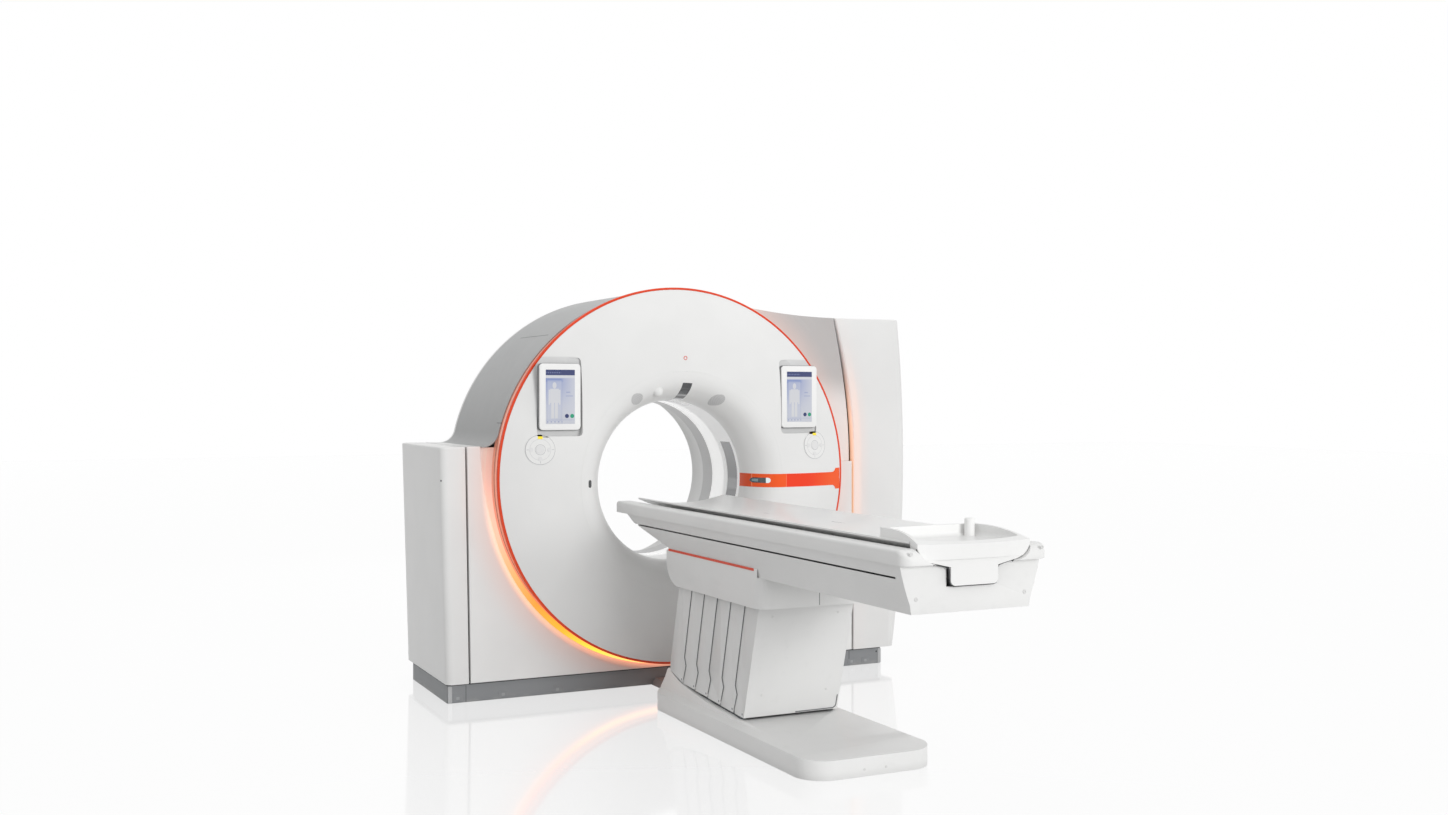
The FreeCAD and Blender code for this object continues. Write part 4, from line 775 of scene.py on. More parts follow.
@dataclass(frozen=True)
class BandPaint(Finish):
    """The orange stripe with its hairlines and deeper part towards the ring."""

    deep: str = "f03600"
    hairlines: tuple[float, float] = (0.4285, 0.5780)

    def tint(self, recipe: Recipe, base: Signal) -> Signal:
        """Blends along the stripe and draws the hairlines.

        Args:
            recipe: the material that asks.
            base: the colour below.

        Returns:
            The colour with it.
        """
        across, _, _ = recipe.place
        first, second = self.hairlines
        deeper = across.rise(second - 0.0005, second + 0.0005) * across.rise(0.90, 0.70)
        lines = ((across.within(line, 0.0009) * 0.55, "ffb08a") for line in self.hairlines)
        return recipe.lay(base, (across.rise(first, first - 0.0015), "e14a05"),
                          (deeper, self.deep), *lines)


@dataclass(frozen=True)
class PadFace(Finish):
    """A control pad's film with its printed circles, by radius and strength, and ticks."""

    circles: tuple[tuple[float, float], ...] = ((0.0712, 0.75), (0.0510, 0.35), (0.0245, 0.8))
    tick_radius: float = 0.0610

    def tint(self, recipe: Recipe, base: Signal) -> Signal:
        """Draws the circles round each pad's middle and four ticks beside them.

        Args:
            recipe: the material that asks.
            base: the colour below.

        Returns:
            The colour with it.
        """
        across, along, up = recipe.place
        middle, _ = MARKS.pad_frame(1)
        side, ahead, rise = abs(across) - middle.x, along - middle.y, up - middle.z
        distance = (side * side + ahead * ahead + rise * rise) ** 0.5
        ink = "9c9ea2"
        drawn = ((distance.within(radius, 0.0007, 0.0005) * share, ink)
                 for radius, share in self.circles)
        ticks = ((abs(side).within(0, 0.0008) | abs(rise).within(0, 0.0008))
                 * distance.within(self.tick_radius, 0.0050))
        return recipe.lay(base, *drawn, (ticks * 0.7, ink))


@dataclass(frozen=True)
class ScreenFace(Finish):
    """A lit touch screen with a plain planning picture, the same on both tablets.

    The picture's places are measured from the screen's middle, in metres.
    """

    figure: float = -0.030
    buttons: tuple[tuple[float, str], ...] = ((0.033, "33407c"), (0.060, "16b487"))
    button_height: float = -0.093

    def picture(self, recipe: Recipe) -> Signal:
        """Draws the picture: bar, field, lying figure, buttons and a row of dots.

        Args:
            recipe: the material that asks.

        Returns:
            The picture's colour.
        """
        across, _, up = recipe.place
        side = across - across.sign() * MARKS.tablet_offset
        rise = up - MARKS.tablet_height
        beside = abs(side - self.figure)

        def oval(offset: float, height: float, wide: float, tall: float) -> Signal:
            """A mask of an oval round a place of the screen."""
            flat, upright = (side - offset) / wide, (rise - height) / tall
            return (flat * flat + upright * upright).rise(1.25, 0.85)

        def bar(away: Signal, middle: float, half: float, height: float, tall: float,
                soft: float = 0.001) -> Signal:
            """A mask of a rectangle, measured by any distance across and the height."""
            return away.within(middle, half, soft) * rise.within(height, tall, soft)

        field = recipe.mix(rise.rise(-0.10, 0.088) * side.rise(0.10, -0.03), "eceffa",
                           "b3bfea")
        torso = beside.within(0, 0.021, 0.002) * rise.within(0.005, 0.032, 0.004)
        legs = beside.within(0.0095, 0.0065, 0.002) * rise.within(-0.060, 0.042, 0.004)
        arms = beside.within(0.0262, 0.0032, 0.0015) * rise.within(-0.002, 0.034, 0.004)
        couch = beside.within(0, 0.0355, 0.001) * rise.within(-0.020, 0.098, 0.002)
        rules = ((beside.within(0.0375, 0.0006) | rise.within(-0.112, 0.0007))
                 * rise.rise(0.084, 0.078))
        dots = bar(side.wave(0.0186), 0.0093, 0.0030, -0.121, 0.0022) * side.rise(0.012, 0.008)
        card = bar(side, 0.046, 0.018, 0.004, 0.0016) | bar(side, 0.040, 0.010, 0.022, 0.0022)
        marks = bar(side.wave(0.0092), 0.0046, 0.0022, 0.1165, 0.0028, 0.0006)
        return recipe.lay(
            field,
            (rise.within(0.080, 0.006, 0.004) * side.rise(0.02, 0.0), "9fb0e4"),
            (couch * 0.5, "dfe5f8"),
            ((oval(self.figure, 0.055, 0.010, 0.015) | torso | legs | arms) * 0.75, WHITE),
            (rules * 0.5, "8fa2dc"),
            (dots * 0.6, "7c8fce"),
            (card * 0.5, "8fa2dc"),
            (rise.within(0.0975, 0.0065, 0.0006), (0.92, 0.94, 1.0)),
            (rise.rise(0.1035, 0.1045), "35437e"),
            (marks * side.rise(0.006, 0.0) * 0.55, "9aa8dc"),
            *((oval(offset, self.button_height, 0.010, 0.010), code)
              for offset, code in self.buttons))

    def tint(self, recipe: Recipe, base: Signal) -> Signal:
        """Shows the picture also where the screen is lit from outside."""
        return recipe.mix(0.35, base, self.picture(recipe))

    def shine(self, recipe: Recipe) -> Signal:
        """Lights the picture."""
        return self.picture(recipe)


@dataclass(frozen=True)
class StripGlass(Finish):
    """Smoked glass, lighter and darker in bands from front to back."""

    def tint(self, recipe: Recipe, base: Signal) -> Signal:
        """Lays a light line and a grey part behind the dark one.

        Args:
            recipe: the material that asks.
            base: the colour below.

        Returns:
            The colour with it.
        """
        _, along, _ = recipe.place
        return recipe.lay(base, (along.rise(-0.395, -0.388), "77787a"),
                          (along.within(-0.388, 0.006, 0.003), "b4b5b6"),
                          (along.rise(-0.335, -0.325), "9b9c9d"),
                          (along.within(-0.440, 0.003, 0.002) * 0.4, "6a6b6d"))


@dataclass(frozen=True)
class LinerGlass(Finish):
    """The grey laser windows in the liner, a little lighter across their middle."""

    def tint(self, recipe: Recipe, base: Signal) -> Signal:
        """Brightens bands of the glass by height.

        Args:
            recipe: the material that asks.
            base: the colour below.

        Returns:
            The colour with it.
        """
        _, _, up = recipe.place
        return recipe.lay(base, (up.within(1.02, 0.018, 0.02) * 0.6, "a3a4a5"),
                          (up.rise(1.06, 1.20) * 0.5, "8b8c8e"))


@dataclass(frozen=True)
class StatusGlass(Finish):
    """The dark readout in the stripe, with a pale lamp at its right end."""

    def shine(self, recipe: Recipe) -> Signal:
        """Lights the lamp and a faint block left of it.

        Args:
            recipe: the material that asks.

        Returns:
            The light's colour.
        """
        across, _, up = recipe.place
        block = across.within(0.4380, 0.0085, 0.0015) * up.within(1.0475, 0.0065, 0.0015)
        return recipe.lay("232c30", (block * 0.7, "7f969c"),
                          (across.rise(0.4735, 0.4750), "e4f1f4"))


@dataclass(frozen=True)
class Perforated(Finish):
    """Speaker cloth with rows of fine holes."""

    pitch: float = 0.0042

    def holes(self, recipe: Recipe) -> Signal:
        """A mask of the holes.

        Args:
            recipe: the material that asks.

        Returns:
            The mask.
        """
        across, along, up = recipe.place
        depth = along * 0.6 + up * 0.8
        side, rise = across.wave(self.pitch), depth.wave(self.pitch)
        return ((side * side + rise * rise) ** 0.5).rise(0.0014, 0.0008)

    def tint(self, recipe: Recipe, base: Signal) -> Signal:
        """Darkens the holes."""
        return recipe.mix(self.holes(recipe) * 0.5, base, "9a9b9d")

    def shape(self, recipe: Recipe, normal: Signal) -> Signal:
        """Sinks the holes."""
        return recipe.bump(1 - self.holes(recipe), 0.0006, normal)


@dataclass(frozen=True)
class PlinthPaint(Finish):
    """Grey textured plastic, dustier towards the floor."""

    def tint(self, recipe: Recipe, base: Signal) -> Signal:
        """Lightens the foot with dust.

        Args:
            recipe: the material that asks.
            base: the colour below.

        Returns:
            The colour with it.
        """
        _, _, up = recipe.place
        dust = up.rise(0.03, 0.0) * recipe.noise(0.08, (1, 1, 0.3)).rise(0.35, 0.7)
        return recipe.mix(dust * 0.35, base, "b4b2ae")


@dataclass(frozen=True)
class Windings(Finish):
    """Slip-ring tracks: copper rings parted by dark insulation."""

    pitch: float = 0.0125

    def tint(self, recipe: Recipe, base: Signal) -> Signal:
        """Draws the tracks by their distance from the scan axis.

        Args:
            recipe: the material that asks.
            base: the colour below.

        Returns:
            The colour with it.
        """
        across, _, up = recipe.place
        rise = up - MARKS.axis_height
        radius = (across * across + rise * rise) ** 0.5
        return recipe.mix(radius.wave(self.pitch).rise(0.0017, 0.0011), base, "26201d")


# ------------------------------------------------------------------ finishes of the table

@dataclass(frozen=True)
class TablePaint(Finish):
    """Moulded white of the table, a little greyer where it is handled and near the floor."""

    def tint(self, recipe: Recipe, base: Signal) -> Signal:
        """Lets handling marks and floor dust into the white.

        Args:
            recipe: the material that asks.
            base: the colour below.

        Returns:
            The colour with it.
        """
        _, _, up = recipe.place
        rubbed = recipe.noise(0.05, (1, 3, 1), 4.0).rise(0.55, 0.8) * 0.10
        dusty = up.rise(0.035, 0.0) * 0.3
        return recipe.mix(rubbed | dusty, base, "c9c9c8")


@dataclass(frozen=True)
class BoardPaint(Finish):
    """Gel-coated carbon board, with a faint weave under the white."""

    def tint(self, recipe: Recipe, base: Signal) -> Signal:
        """Shows the weave.

        Args:
            recipe: the material that asks.
            base: the colour below.

        Returns:
            The colour with it.
        """
        across, along, _ = recipe.place
        weave = across.wave(0.004).rise(0.0006, 0.0014) * along.wave(0.004).rise(0.0006, 0.0014)
        return recipe.mix(weave * 0.035, base, "c4c6c8")


class Paints(Enum):
    """Every finish of the object, by what it covers."""

    GANTRY = DiscPaint("disc_white", "e6e6e5", roughness=0.40, coat=0.12)
    # Painted light: the housing's whites carry the ring light's glow in colour and emission, the
    # wing painted shade at its top.
    CABINET = PaintedRingGlow("cabinet_paint", "e5e5e4", roughness=0.42, coat=0.10,
                           glow_strength=1.0)
    WING = WingPaint("wing_paint", "e5e5e4", roughness=0.42, coat=0.10, glow_strength=1.0)
    CABINET_SIDE = SidePaint("side_cabinet_white", "e5e5e4", roughness=0.42, coat=0.10,
                             glow_strength=1.0)
    REAR = Finish("rear_white", "dededd", roughness=0.45, coat=0.08)
    DRUM = DrumPaint("drum_silver", "b0b1b1", roughness=0.5, grain=0.0016, relief=0.00001)
    ACCENT = Finish("ring_orange", "e0400f", roughness=0.42, coat=0.1, wander=0.03)
    BAND = BandPaint("band_orange", "f4560c", roughness=0.45, coat=0.1)
    LIGHT = RingLight("ring_light", "dd9b86", roughness=0.5, glow_strength=0.42)
    PLINTH = PlinthPaint("plinth_plastic", "8a8c8e", roughness=0.55, relief=0.00006,
                         grain=0.002)
    PLINTH_LIGHT = PlinthPaint("plinth_trim", "9c9ea0", roughness=0.5, relief=0.00005)
    PLINTH_EDGE = PlinthPaint("plinth_corner", "b4b5b6", roughness=0.5, relief=0.00005)
    # Grey of the side lock, also used as painted shadow along the lamellae's seams and the foot
    # gap.
    SEAM = Finish("lock_grey_and_painted_seam_shadow", "727476", roughness=0.7)
    FRAME = Finish("frame_coat", "7b8085", roughness=0.5, metallic=0.35, relief=0.00008,
                   grain=0.0012)
    BRIGHT = Finish("ground_steel", "c2c4c6", roughness=0.26, metallic=1.0, wander=0.05,
                    run=Grain.BRUSHED_ACROSS, relief=0.00002, grain=0.0006)
    # Painted light: the liner's white glows a little though it is no lamp.
    LINER = Finish("liner_white", "f2f2f2", roughness=0.38, coat=0.1, glow_strength=0.12)
    LINER_BACK = Finish("liner_grey_finish", "cbcbcb", roughness=0.38, coat=0.1)
    # Painted light: the window film glows though it is no lamp.
    FILM = Finish("window_film", "fafaf9", roughness=0.28, coat=0.3, glow_strength=0.25)
    LASER = LinerGlass("laser_glass", "747577", roughness=0.16, coat=0.8)
    STRIP = StripGlass("strip_glass", "45474a", roughness=0.14, coat=0.8)
    PORT = Finish("port_glass", "2b2d30", roughness=0.12, coat=0.9)
    STATUS = StatusGlass("status_glass", "1c2326", roughness=0.12, coat=0.9,
                         glow_strength=0.9)
    TABLET = Finish("tablet_shell", "f0f0ef", roughness=0.33, coat=0.25)
    SCREEN = ScreenFace("lit_screen", "10131c", roughness=0.12, coat=0.4, glow_strength=0.32,
                        relief=0.0)
    PAD = PadFace("pad_film", "e9e9e8", roughness=0.45)
    KEY = Finish("key_cap", "e2e2e2", roughness=0.35, coat=0.15)
    LAMP = Finish("pad_lamp", "e8cf2a", roughness=0.25, coat=0.6, glow="f2d20e",
                  glow_strength=0.35)
    SPEAKER = Perforated("speaker_plate", "cacaca", roughness=0.55)
    # Dark of joints and the bolt, also used as painted shadow in gaps.
    SHADOW = Finish("joint_dark_and_painted_shadow", "3c3e40", roughness=0.7, relief=0.00004)
    # Grey of joints, slots and vents, also used as painted shadow round the tablets.
    SOFT_GAP = Finish("gap_grey_and_painted_shadow", "7e8082", roughness=0.65)
    SCREW = Finish("screw_steel", "c9cacb", roughness=0.28, metallic=0.9, grain=0.0006)
    CAP = Finish("screw_cap", "dcdcdb", roughness=0.4)
    RED = Finish("mark_red", "d8432c", roughness=0.4)
    UNIT = Finish("unit_coat", "9b9ea1", roughness=0.45, metallic=0.25, relief=0.00008,
                  grain=0.0012)
    ALUMINIUM = Finish("cast_aluminium", "b7babc", roughness=0.38, metallic=0.9, wander=0.06,
                       relief=0.00010, grain=0.002)
    COPPER = Windings("slip_copper", "b06a3f", roughness=0.3, metallic=1.0)
    TABLE = TablePaint("table_moulding", "e9e9e8", roughness=0.40, coat=0.12)
    LAMELLA = TablePaint("lamella_white", "e3e3e2", roughness=0.42, coat=0.10)
    TABLE_STEEL = Finish("rail_steel", "b4b6b8", roughness=0.3, metallic=1.0, wander=0.05,
                         run=Grain.BRUSHED_ALONG, grain=0.0006)
    BOARD = BoardPaint("board_gelcoat", "efefee", roughness=0.36, coat=0.2)
    DUCT = Finish("duct_plastic", "9a9c9e", roughness=0.5, relief=0.00005)

    def material(self) -> bpy.types.Material:
        """The finish's material, built once."""
        made = bpy.data.materials.get(self.value.name)
        return made or self.value.make()


# ------------------------------------------------------------------ modelling by hand

FRONT = Vector((0, -1, 0))
BACK = Vector((0, 1, 0))
LEFT = Vector((-1, 0, 0))
RIGHT = Vector((1, 0, 0))
UP = Vector((0, 0, 1))
WELD = 0.00002
TOUCH = 1e-6


def alone(piece: bpy.types.Object) -> None:
    """Selects one piece and nothing else, in object mode.

    Args:
        piece: the piece.
    """
    if bpy.context.mode != "OBJECT":
        bpy.ops.object.mode_set(mode="OBJECT")
    bpy.ops.object.select_all(action="DESELECT")
    piece.select_set(True)
    bpy.context.view_layer.objects.active = piece


def settled(piece: bpy.types.Object) -> bpy.types.Object:
    """Moves a piece's place, turn and scale into its mesh.

    Args:
        piece: the piece.

    Returns:
        The piece.
    """
    alone(piece)
    bpy.ops.object.transform_apply(location=True, rotation=True, scale=True)
    return piece


def started(name: str) -> bpy.types.Object:
    """Names the primitive just added and moves its place into its mesh.

    Args:
        name: the piece's name.

    Returns:
        The piece, at the origin, unturned and unscaled.
    """
    piece = bpy.context.object
    piece.name = piece.data.name = name
    return settled(piece)


def pick(piece: bpy.types.Object, domain: str, wanted: Callable) -> None:
    """Opens a piece for editing with some of its parts selected.

    Args:
        piece: the piece.
        domain: "verts", "edges" or "faces".
        wanted: tells for each part whether it is selected.
    """
    alone(piece)
    bpy.ops.object.mode_set(mode="EDIT")
    bpy.ops.mesh.select_mode(type={"verts": "VERT", "edges": "EDGE", "faces": "FACE"}[domain])
    bpy.ops.mesh.select_all(action="DESELECT")
    mesh = bmesh.from_edit_mesh(piece.data)
    for part in getattr(mesh, domain):
        if wanted(part):
            part.select_set(True)
    mesh.select_flush_mode()
    bmesh.update_edit_mesh(piece.data)


def everything(piece: bpy.types.Object) -> None:
    """Opens a piece for editing with all of it selected."""
    pick(piece, "verts", lambda vert: True)


def done(piece: bpy.types.Object, smooth: float = 32.0) -> bpy.types.Object:
    """Closes the edit and shades the piece smooth up to an angle in degrees.

    Args:
        piece: the piece.
        smooth: the angle.

    Returns:
        The piece.
    """
    alone(piece)
    bpy.ops.object.shade_smooth_by_angle(angle=math.radians(smooth))
    return piece


def applied(piece: bpy.types.Object, kind: str, **settings: object) -> bpy.types.Object:
    """Adds a modifier and applies it.

    Args:
        piece: the piece.
        kind: the modifier's type.
        settings: its properties.

    Returns:
        The piece.
    """
    alone(piece)
    modifier = piece.modifiers.new(kind.lower(), kind)
    for name, value in settings.items():
        setattr(modifier, name, value)
    bpy.ops.object.modifier_apply(modifier=modifier.name)
    return piece


def facing(normal: Vector) -> Matrix:
    """The turn that brings +Z to a normal and keeps +Y as near upright as it can.

    Args:
        normal: the normal of the surface.

    Returns:
        The turn.
    """
    ahead = normal.normalized()
    upright = UP if abs(ahead.z) < 0.95 else BACK
    side = upright.cross(ahead).normalized()
    return Matrix((side, ahead.cross(side), ahead)).transposed()


class Fixture:
    """A small piece that lies against a surface."""

    def model(self, name: str) -> tuple[bpy.types.Object, float]:
        """Models the piece round the origin, facing up.

        Args:
            name: the piece's name.

        Returns:
            The piece and its thickness.
        """
        raise NotImplementedError

    def make(self, name: str, middle: Sequence[float], normal: Vector = FRONT) -> bpy.types.Object:
        """Models the piece and sets it against a surface.

        Args:
            name: the piece's name.
            middle: the middle of its back.
            normal: the direction that it faces.

        Returns:
            The piece.
        """
        piece, thick = self.model(name)
        turn = facing(normal)
        place = Vector(middle) + turn @ Vector((0, 0, thick / 2))
        alone(piece)
        piece.matrix_world = Matrix.Translation(place) @ turn.to_4x4()
        return done(settled(piece))

    @staticmethod
    def pick_rim(piece: bpy.types.Object, top: float, radius: float = 0.0) -> None:
        """Selects the edges at the top, or only those beyond a radius."""
        pick(piece, "edges", lambda edge: all(
            abs(end.co.z - top) < TOUCH and end.co.xy.length >= radius for end in edge.verts))

    @staticmethod
    def sink(piece: bpy.types.Object, inset: float, depth: float) -> None:
        """Sinks the middle of the top face, inset from its rim.

        Args:
            piece: the piece.
            inset: the width of the rim that stays.
            depth: how deep the middle goes.
        """
        pick(piece, "faces", lambda face: face.normal.z > 0.99)
        bpy.ops.mesh.inset(thickness=inset)
        bpy.ops.mesh.extrude_region_move(TRANSFORM_OT_translate={"value": (0, 0, -depth)})


@dataclass
class Plate(Fixture):
    """A plate with rounded corners and a softened front edge."""

    width: float
    height: float
    thick: float
    corner: float
    edge: float = 0.0006
    segments: int = 6

    def model(self, name: str) -> tuple[bpy.types.Object, float]:
        """Models the plate.

        Args:
            name: the piece's name.

        Returns:
            The piece and its thickness.
        """
        bpy.ops.mesh.primitive_cube_add(size=1, location=(0, 0, 0))
        bpy.context.object.scale = (self.width, self.height, self.thick)
        piece = started(name)
        pick(piece, "edges", lambda edge: abs(
            edge.verts[0].co.z - edge.verts[1].co.z) > self.thick / 2)
        bpy.ops.mesh.bevel(offset=self.corner, offset_type="OFFSET", segments=self.segments)
        if self.edge:
            self.pick_rim(piece, self.thick / 2)
            bpy.ops.mesh.bevel(offset=self.edge, segments=2)
        return piece, self.thick


@dataclass
class Puck(Fixture):
    """A round cap with a softened rim and, if wanted, a sunk middle."""

    radius: float
    thick: float
    edge: float = 0.0008
    hollow: float = 0.0
    hollow_radius: float = 0.0
    sides: int = 40

    def model(self, name: str) -> tuple[bpy.types.Object, float]:
        """Models the cap.

        Args:
            name: the piece's name.

        Returns:
            The piece and its thickness.
        """
        bpy.ops.mesh.primitive_cylinder_add(vertices=self.sides, radius=self.radius,
                                            depth=self.thick)
        piece = started(name)
        if self.hollow:
            self.sink(piece, self.radius - self.hollow_radius, self.hollow)
        self.pick_rim(piece, self.thick / 2, self.radius * 0.99)
        bpy.ops.mesh.bevel(offset=self.edge, segments=3)
        return piece, self.thick


@dataclass
class Screw(Fixture):
    """A low countersunk screw with a sunk middle."""

    radius: float
    proud: float

    def model(self, name: str) -> tuple[bpy.types.Object, float]:
        """Models the screw.

        Args:
            name: the piece's name.

        Returns:
            The piece and its thickness.
        """
        bpy.ops.mesh.primitive_cylinder_add(vertices=24, radius=self.radius, depth=self.proud)
        piece = started(name)
        self.pick_rim(piece, self.proud / 2)
        bpy.ops.mesh.bevel(offset=self.proud * 0.45, segments=2)
        self.sink(piece, self.radius * 0.42, self.proud * 0.8)
        return piece, self.proud


def hoop(name: str, radius: float, wire: float, middle: Sequence[float], normal: Vector = FRONT,
         sides: int = 48) -> bpy.types.Object:
    """Models a thin ring.

    Args:
        name: the piece's name.
        radius: to the middle of its wire.
        wire: the wire's radius.
        middle: the ring's middle.
        normal: the ring's axis.
        sides: how many segments it has.

    Returns:
        The ring.
    """
    bpy.ops.mesh.primitive_torus_add(major_radius=radius, minor_radius=wire, major_segments=sides,
                                     minor_segments=10)
    piece = bpy.context.object
    piece.matrix_world = Matrix.Translation(Vector(middle)) @ facing(normal).to_4x4()
    return done(started(name))


def turned(name: str, profile: Sequence[tuple[float, float]], height: float,
           sides: int = 256) -> bpy.types.Object:
    """Models a closed ring round the scan direction, loop by loop.

    Args:
        name: the piece's name.
        profile: places along Y with their radii, in order round the section.
        height: the height of the ring's middle.
        sides: how many segments it has.

    Returns:
        The ring.
    """
    along, radius = profile[0]
    bpy.ops.mesh.primitive_circle_add(vertices=sides, radius=radius, location=(0, along, height),
                                      rotation=(math.pi / 2, 0, 0))
    piece = started(name)
    everything(piece)
    for next_along, next_radius in (*profile[1:], profile[0]):
        bpy.ops.mesh.extrude_edges_move(TRANSFORM_OT_translate={
            "value": (0, next_along - along, 0)})
        share = next_radius / radius
        bpy.ops.transform.resize(value=(share, 1, share), center_override=(0, 0, height))
        along, radius = next_along, next_radius
    bpy.ops.mesh.select_all(action="SELECT")
    bpy.ops.mesh.remove_doubles(threshold=WELD)
    bpy.ops.mesh.normals_make_consistent(inside=False)
    return done(piece, 50)


def line(name: str, points: Sequence[Sequence[float]], width: float) -> bpy.types.Object:
    """Models a thin round bead along drawn points, such as a gap's shadow.

    Args:
        name: the piece's name.
        points: the places that it passes.
        width: its thickness.

    Returns:
        The bead.
    """
    bpy.ops.mesh.primitive_plane_add(size=0.01, location=points[0])
    piece = started(name)
    pick(piece, "verts", lambda vert: vert.index > 0)
    bpy.ops.mesh.delete(type="VERT")
    first = bmesh.from_edit_mesh(piece.data).verts[:][0].co.copy()
    everything(piece)
    bpy.ops.transform.translate(value=Vector(points[0]) - first)
    for start, end in zip(points, points[1:]):
        bpy.ops.mesh.extrude_vertices_move(TRANSFORM_OT_translate={
            "value": Vector(end) - Vector(start)})
    alone(piece)
    bpy.ops.object.convert(target="CURVE")
    curve = bpy.context.object
    curve.data.bevel_depth, curve.data.bevel_resolution = width / 2, 3
    curve.data.use_fill_caps = True
    bpy.ops.object.convert(target="MESH")
    return done(bpy.context.object, 60)


def ribbon(name: str, points: Sequence[Sequence[float]], width: float, thick: float,
           axis: int) -> bpy.types.Object:
    """Models a flat strip along drawn points of one plane, such as a gap's shadow.

    Args:
        name: the piece's name.
        points: the places that it passes.
        width: its width in the plane.
        thick: its thickness across the plane.
        axis: the axis across the plane, 0 for X, 1 for Y and 2 for Z.

    Returns:
        The strip.
    """
    piece = line(name, points, width)
    everything(piece)
    share = [1.0, 1.0, 1.0]
    share[axis] = thick / width
    bpy.ops.transform.resize(value=share, center_override=points[0])
    return done(piece, 60)


def copied(node: str, name: str) -> bpy.types.Object:
    """Copies a construction node under a new name, without its stored normals.

    Args:
        node: the construction node.
        name: the copy's name.

    Returns:
        The copy.
    """
    piece = bpy.data.objects.new(name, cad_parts[node].data.copy())
    piece.data.name = name
    bpy.context.scene.collection.objects.link(piece)
    alone(piece)
    bpy.ops.mesh.customdata_custom_splitnormals_clear()
    return piece


def patch(name: str, node: str, cuts: Iterable[tuple[Sequence[float], Sequence[float]]],
          wanted: Callable, proud: float) -> bpy.types.Object:
    """Models a thin sheet on a part of a construction node's surface.

    Args:
        name: the piece's name.
        node: the construction node.
        cuts: planes, each with a place and the direction that is cut away.
        wanted: tells for each face left whether it belongs to the surface.
        proud: how far the sheet stands over the surface.

    Returns:
        The sheet.
    """
    piece = copied(node, name)
    for place, away in cuts:
        everything(piece)
        bpy.ops.mesh.bisect(plane_co=place, plane_no=away, clear_outer=True)
    everything(piece)
    bpy.ops.mesh.remove_doubles(threshold=WELD)
    pick(piece, "faces", lambda face: not wanted(face))
    bpy.ops.mesh.delete(type="FACE")
    alone(piece)
    applied(piece, "SOLIDIFY", thickness=proud, offset=1.0, use_rim=True)
    return done(piece, 50)


def laid_on(name: str, size: tuple[float, float], middle: Sequence[float], target: str,
            proud: float, corner: float, normal: Vector = FRONT) -> bpy.types.Object:
    """Models a thin sheet that follows another piece's surface.

    Args:
        name: the piece's name.
        size: its width and height, seen along the normal.
        middle: a place over its middle.
        target: the piece or node that it lies on.
        proud: how far it stands over the surface.
        corner: the radius of its corners.
        normal: the direction that it is laid on from.

    Returns:
        The sheet.
    """
    bpy.ops.mesh.primitive_plane_add(size=1, location=(0, 0, 0))
    bpy.context.object.scale = (*size, 1)
    piece = started(name)
    everything(piece)
    bpy.ops.mesh.bevel(offset=corner, segments=8, affect="VERTICES")
    strips, clearance = 14, 0.08
    for axis in (0, 1):
        across = Vector((0, 0, 0))
        across[axis] = 1
        for step in range(1, strips):
            everything(piece)
            bpy.ops.mesh.bisect(plane_co=across * size[axis] * (step / strips - 0.5),
                                plane_no=across)
    alone(piece)
    ahead = Vector(middle) + normal.normalized() * clearance
    piece.matrix_world = Matrix.Translation(ahead) @ facing(normal).to_4x4()
    settled(piece)
    axis = max(range(3), key=lambda index: abs(normal[index]))
    wrap = {"target": bpy.data.objects[target], "wrap_method": "PROJECT", "offset": proud,
            "use_positive_direction": normal[axis] < 0, "use_negative_direction": normal[axis] > 0,
            "wrap_mode": "ABOVE_SURFACE", "use_project_" + "xyz"[axis]: True}
    applied(piece, "SHRINKWRAP", **wrap)
    applied(piece, "SOLIDIFY", thickness=proud + 0.0006, offset=-1.0, use_rim=True)
    return done(piece, 50)


def softened(node: str, width: float, segments: int = 2) -> bpy.types.Object:
    """Copies a construction node and rounds its edges.

    Args:
        node: the construction node.
        width: the width of the rounding.
        segments: how many faces each rounding has.

    Returns:
        The rounded copy, with "soft_" before the node's name.
    """
    piece = copied(node, "soft_" + node)
    everything(piece)
    bpy.ops.mesh.remove_doubles(threshold=WELD)
    bpy.ops.mesh.dissolve_limited(angle_limit=math.radians(0.4))
    applied(piece, "BEVEL", width=width, segments=segments, limit_method="ANGLE",
            angle_limit=math.radians(24.0), miter_outer="MITER_ARC", use_clamp_overlap=True)
    return done(piece, 30)


def struck(target: str, start: Sequence[float], ahead: Vector) -> tuple[Vector, Vector]:
    """Finds where a line meets a piece.

    Args:
        target: the piece.
        start: where the line starts.
        ahead: the line's direction.

    Returns:
        The place and the surface's normal there.

    Raises:
        RuntimeError: if the line passes the piece.
    """
    hit, place, normal, _ = bpy.data.objects[target].ray_cast(Vector(start), ahead)
    if not hit:
        raise RuntimeError(f"no surface of {target} from {tuple(start)}")
    return place, normal


def fit(piece: bpy.types.Object, paint: Paints, body: str, slot: str, *stands_for: str) -> None:
    """Dresses a finished piece and puts it on its body.

    Args:
        piece: the piece.
        paint: its finish.
        body: the body that it rides on.
        slot: the record's material slot; not used.
        stands_for: construction nodes that it replaces.
    """
    piece.data.materials.clear()
    piece.data.materials.append(paint.material())
    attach(piece, body)
    if stands_for:
        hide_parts(*stands_for)
    LOG.info("%s: %s on %s, %d faces", piece.name, paint.value.name, body,
             len(piece.data.polygons))


# ------------------------------------------------------------------ sub-assemblies

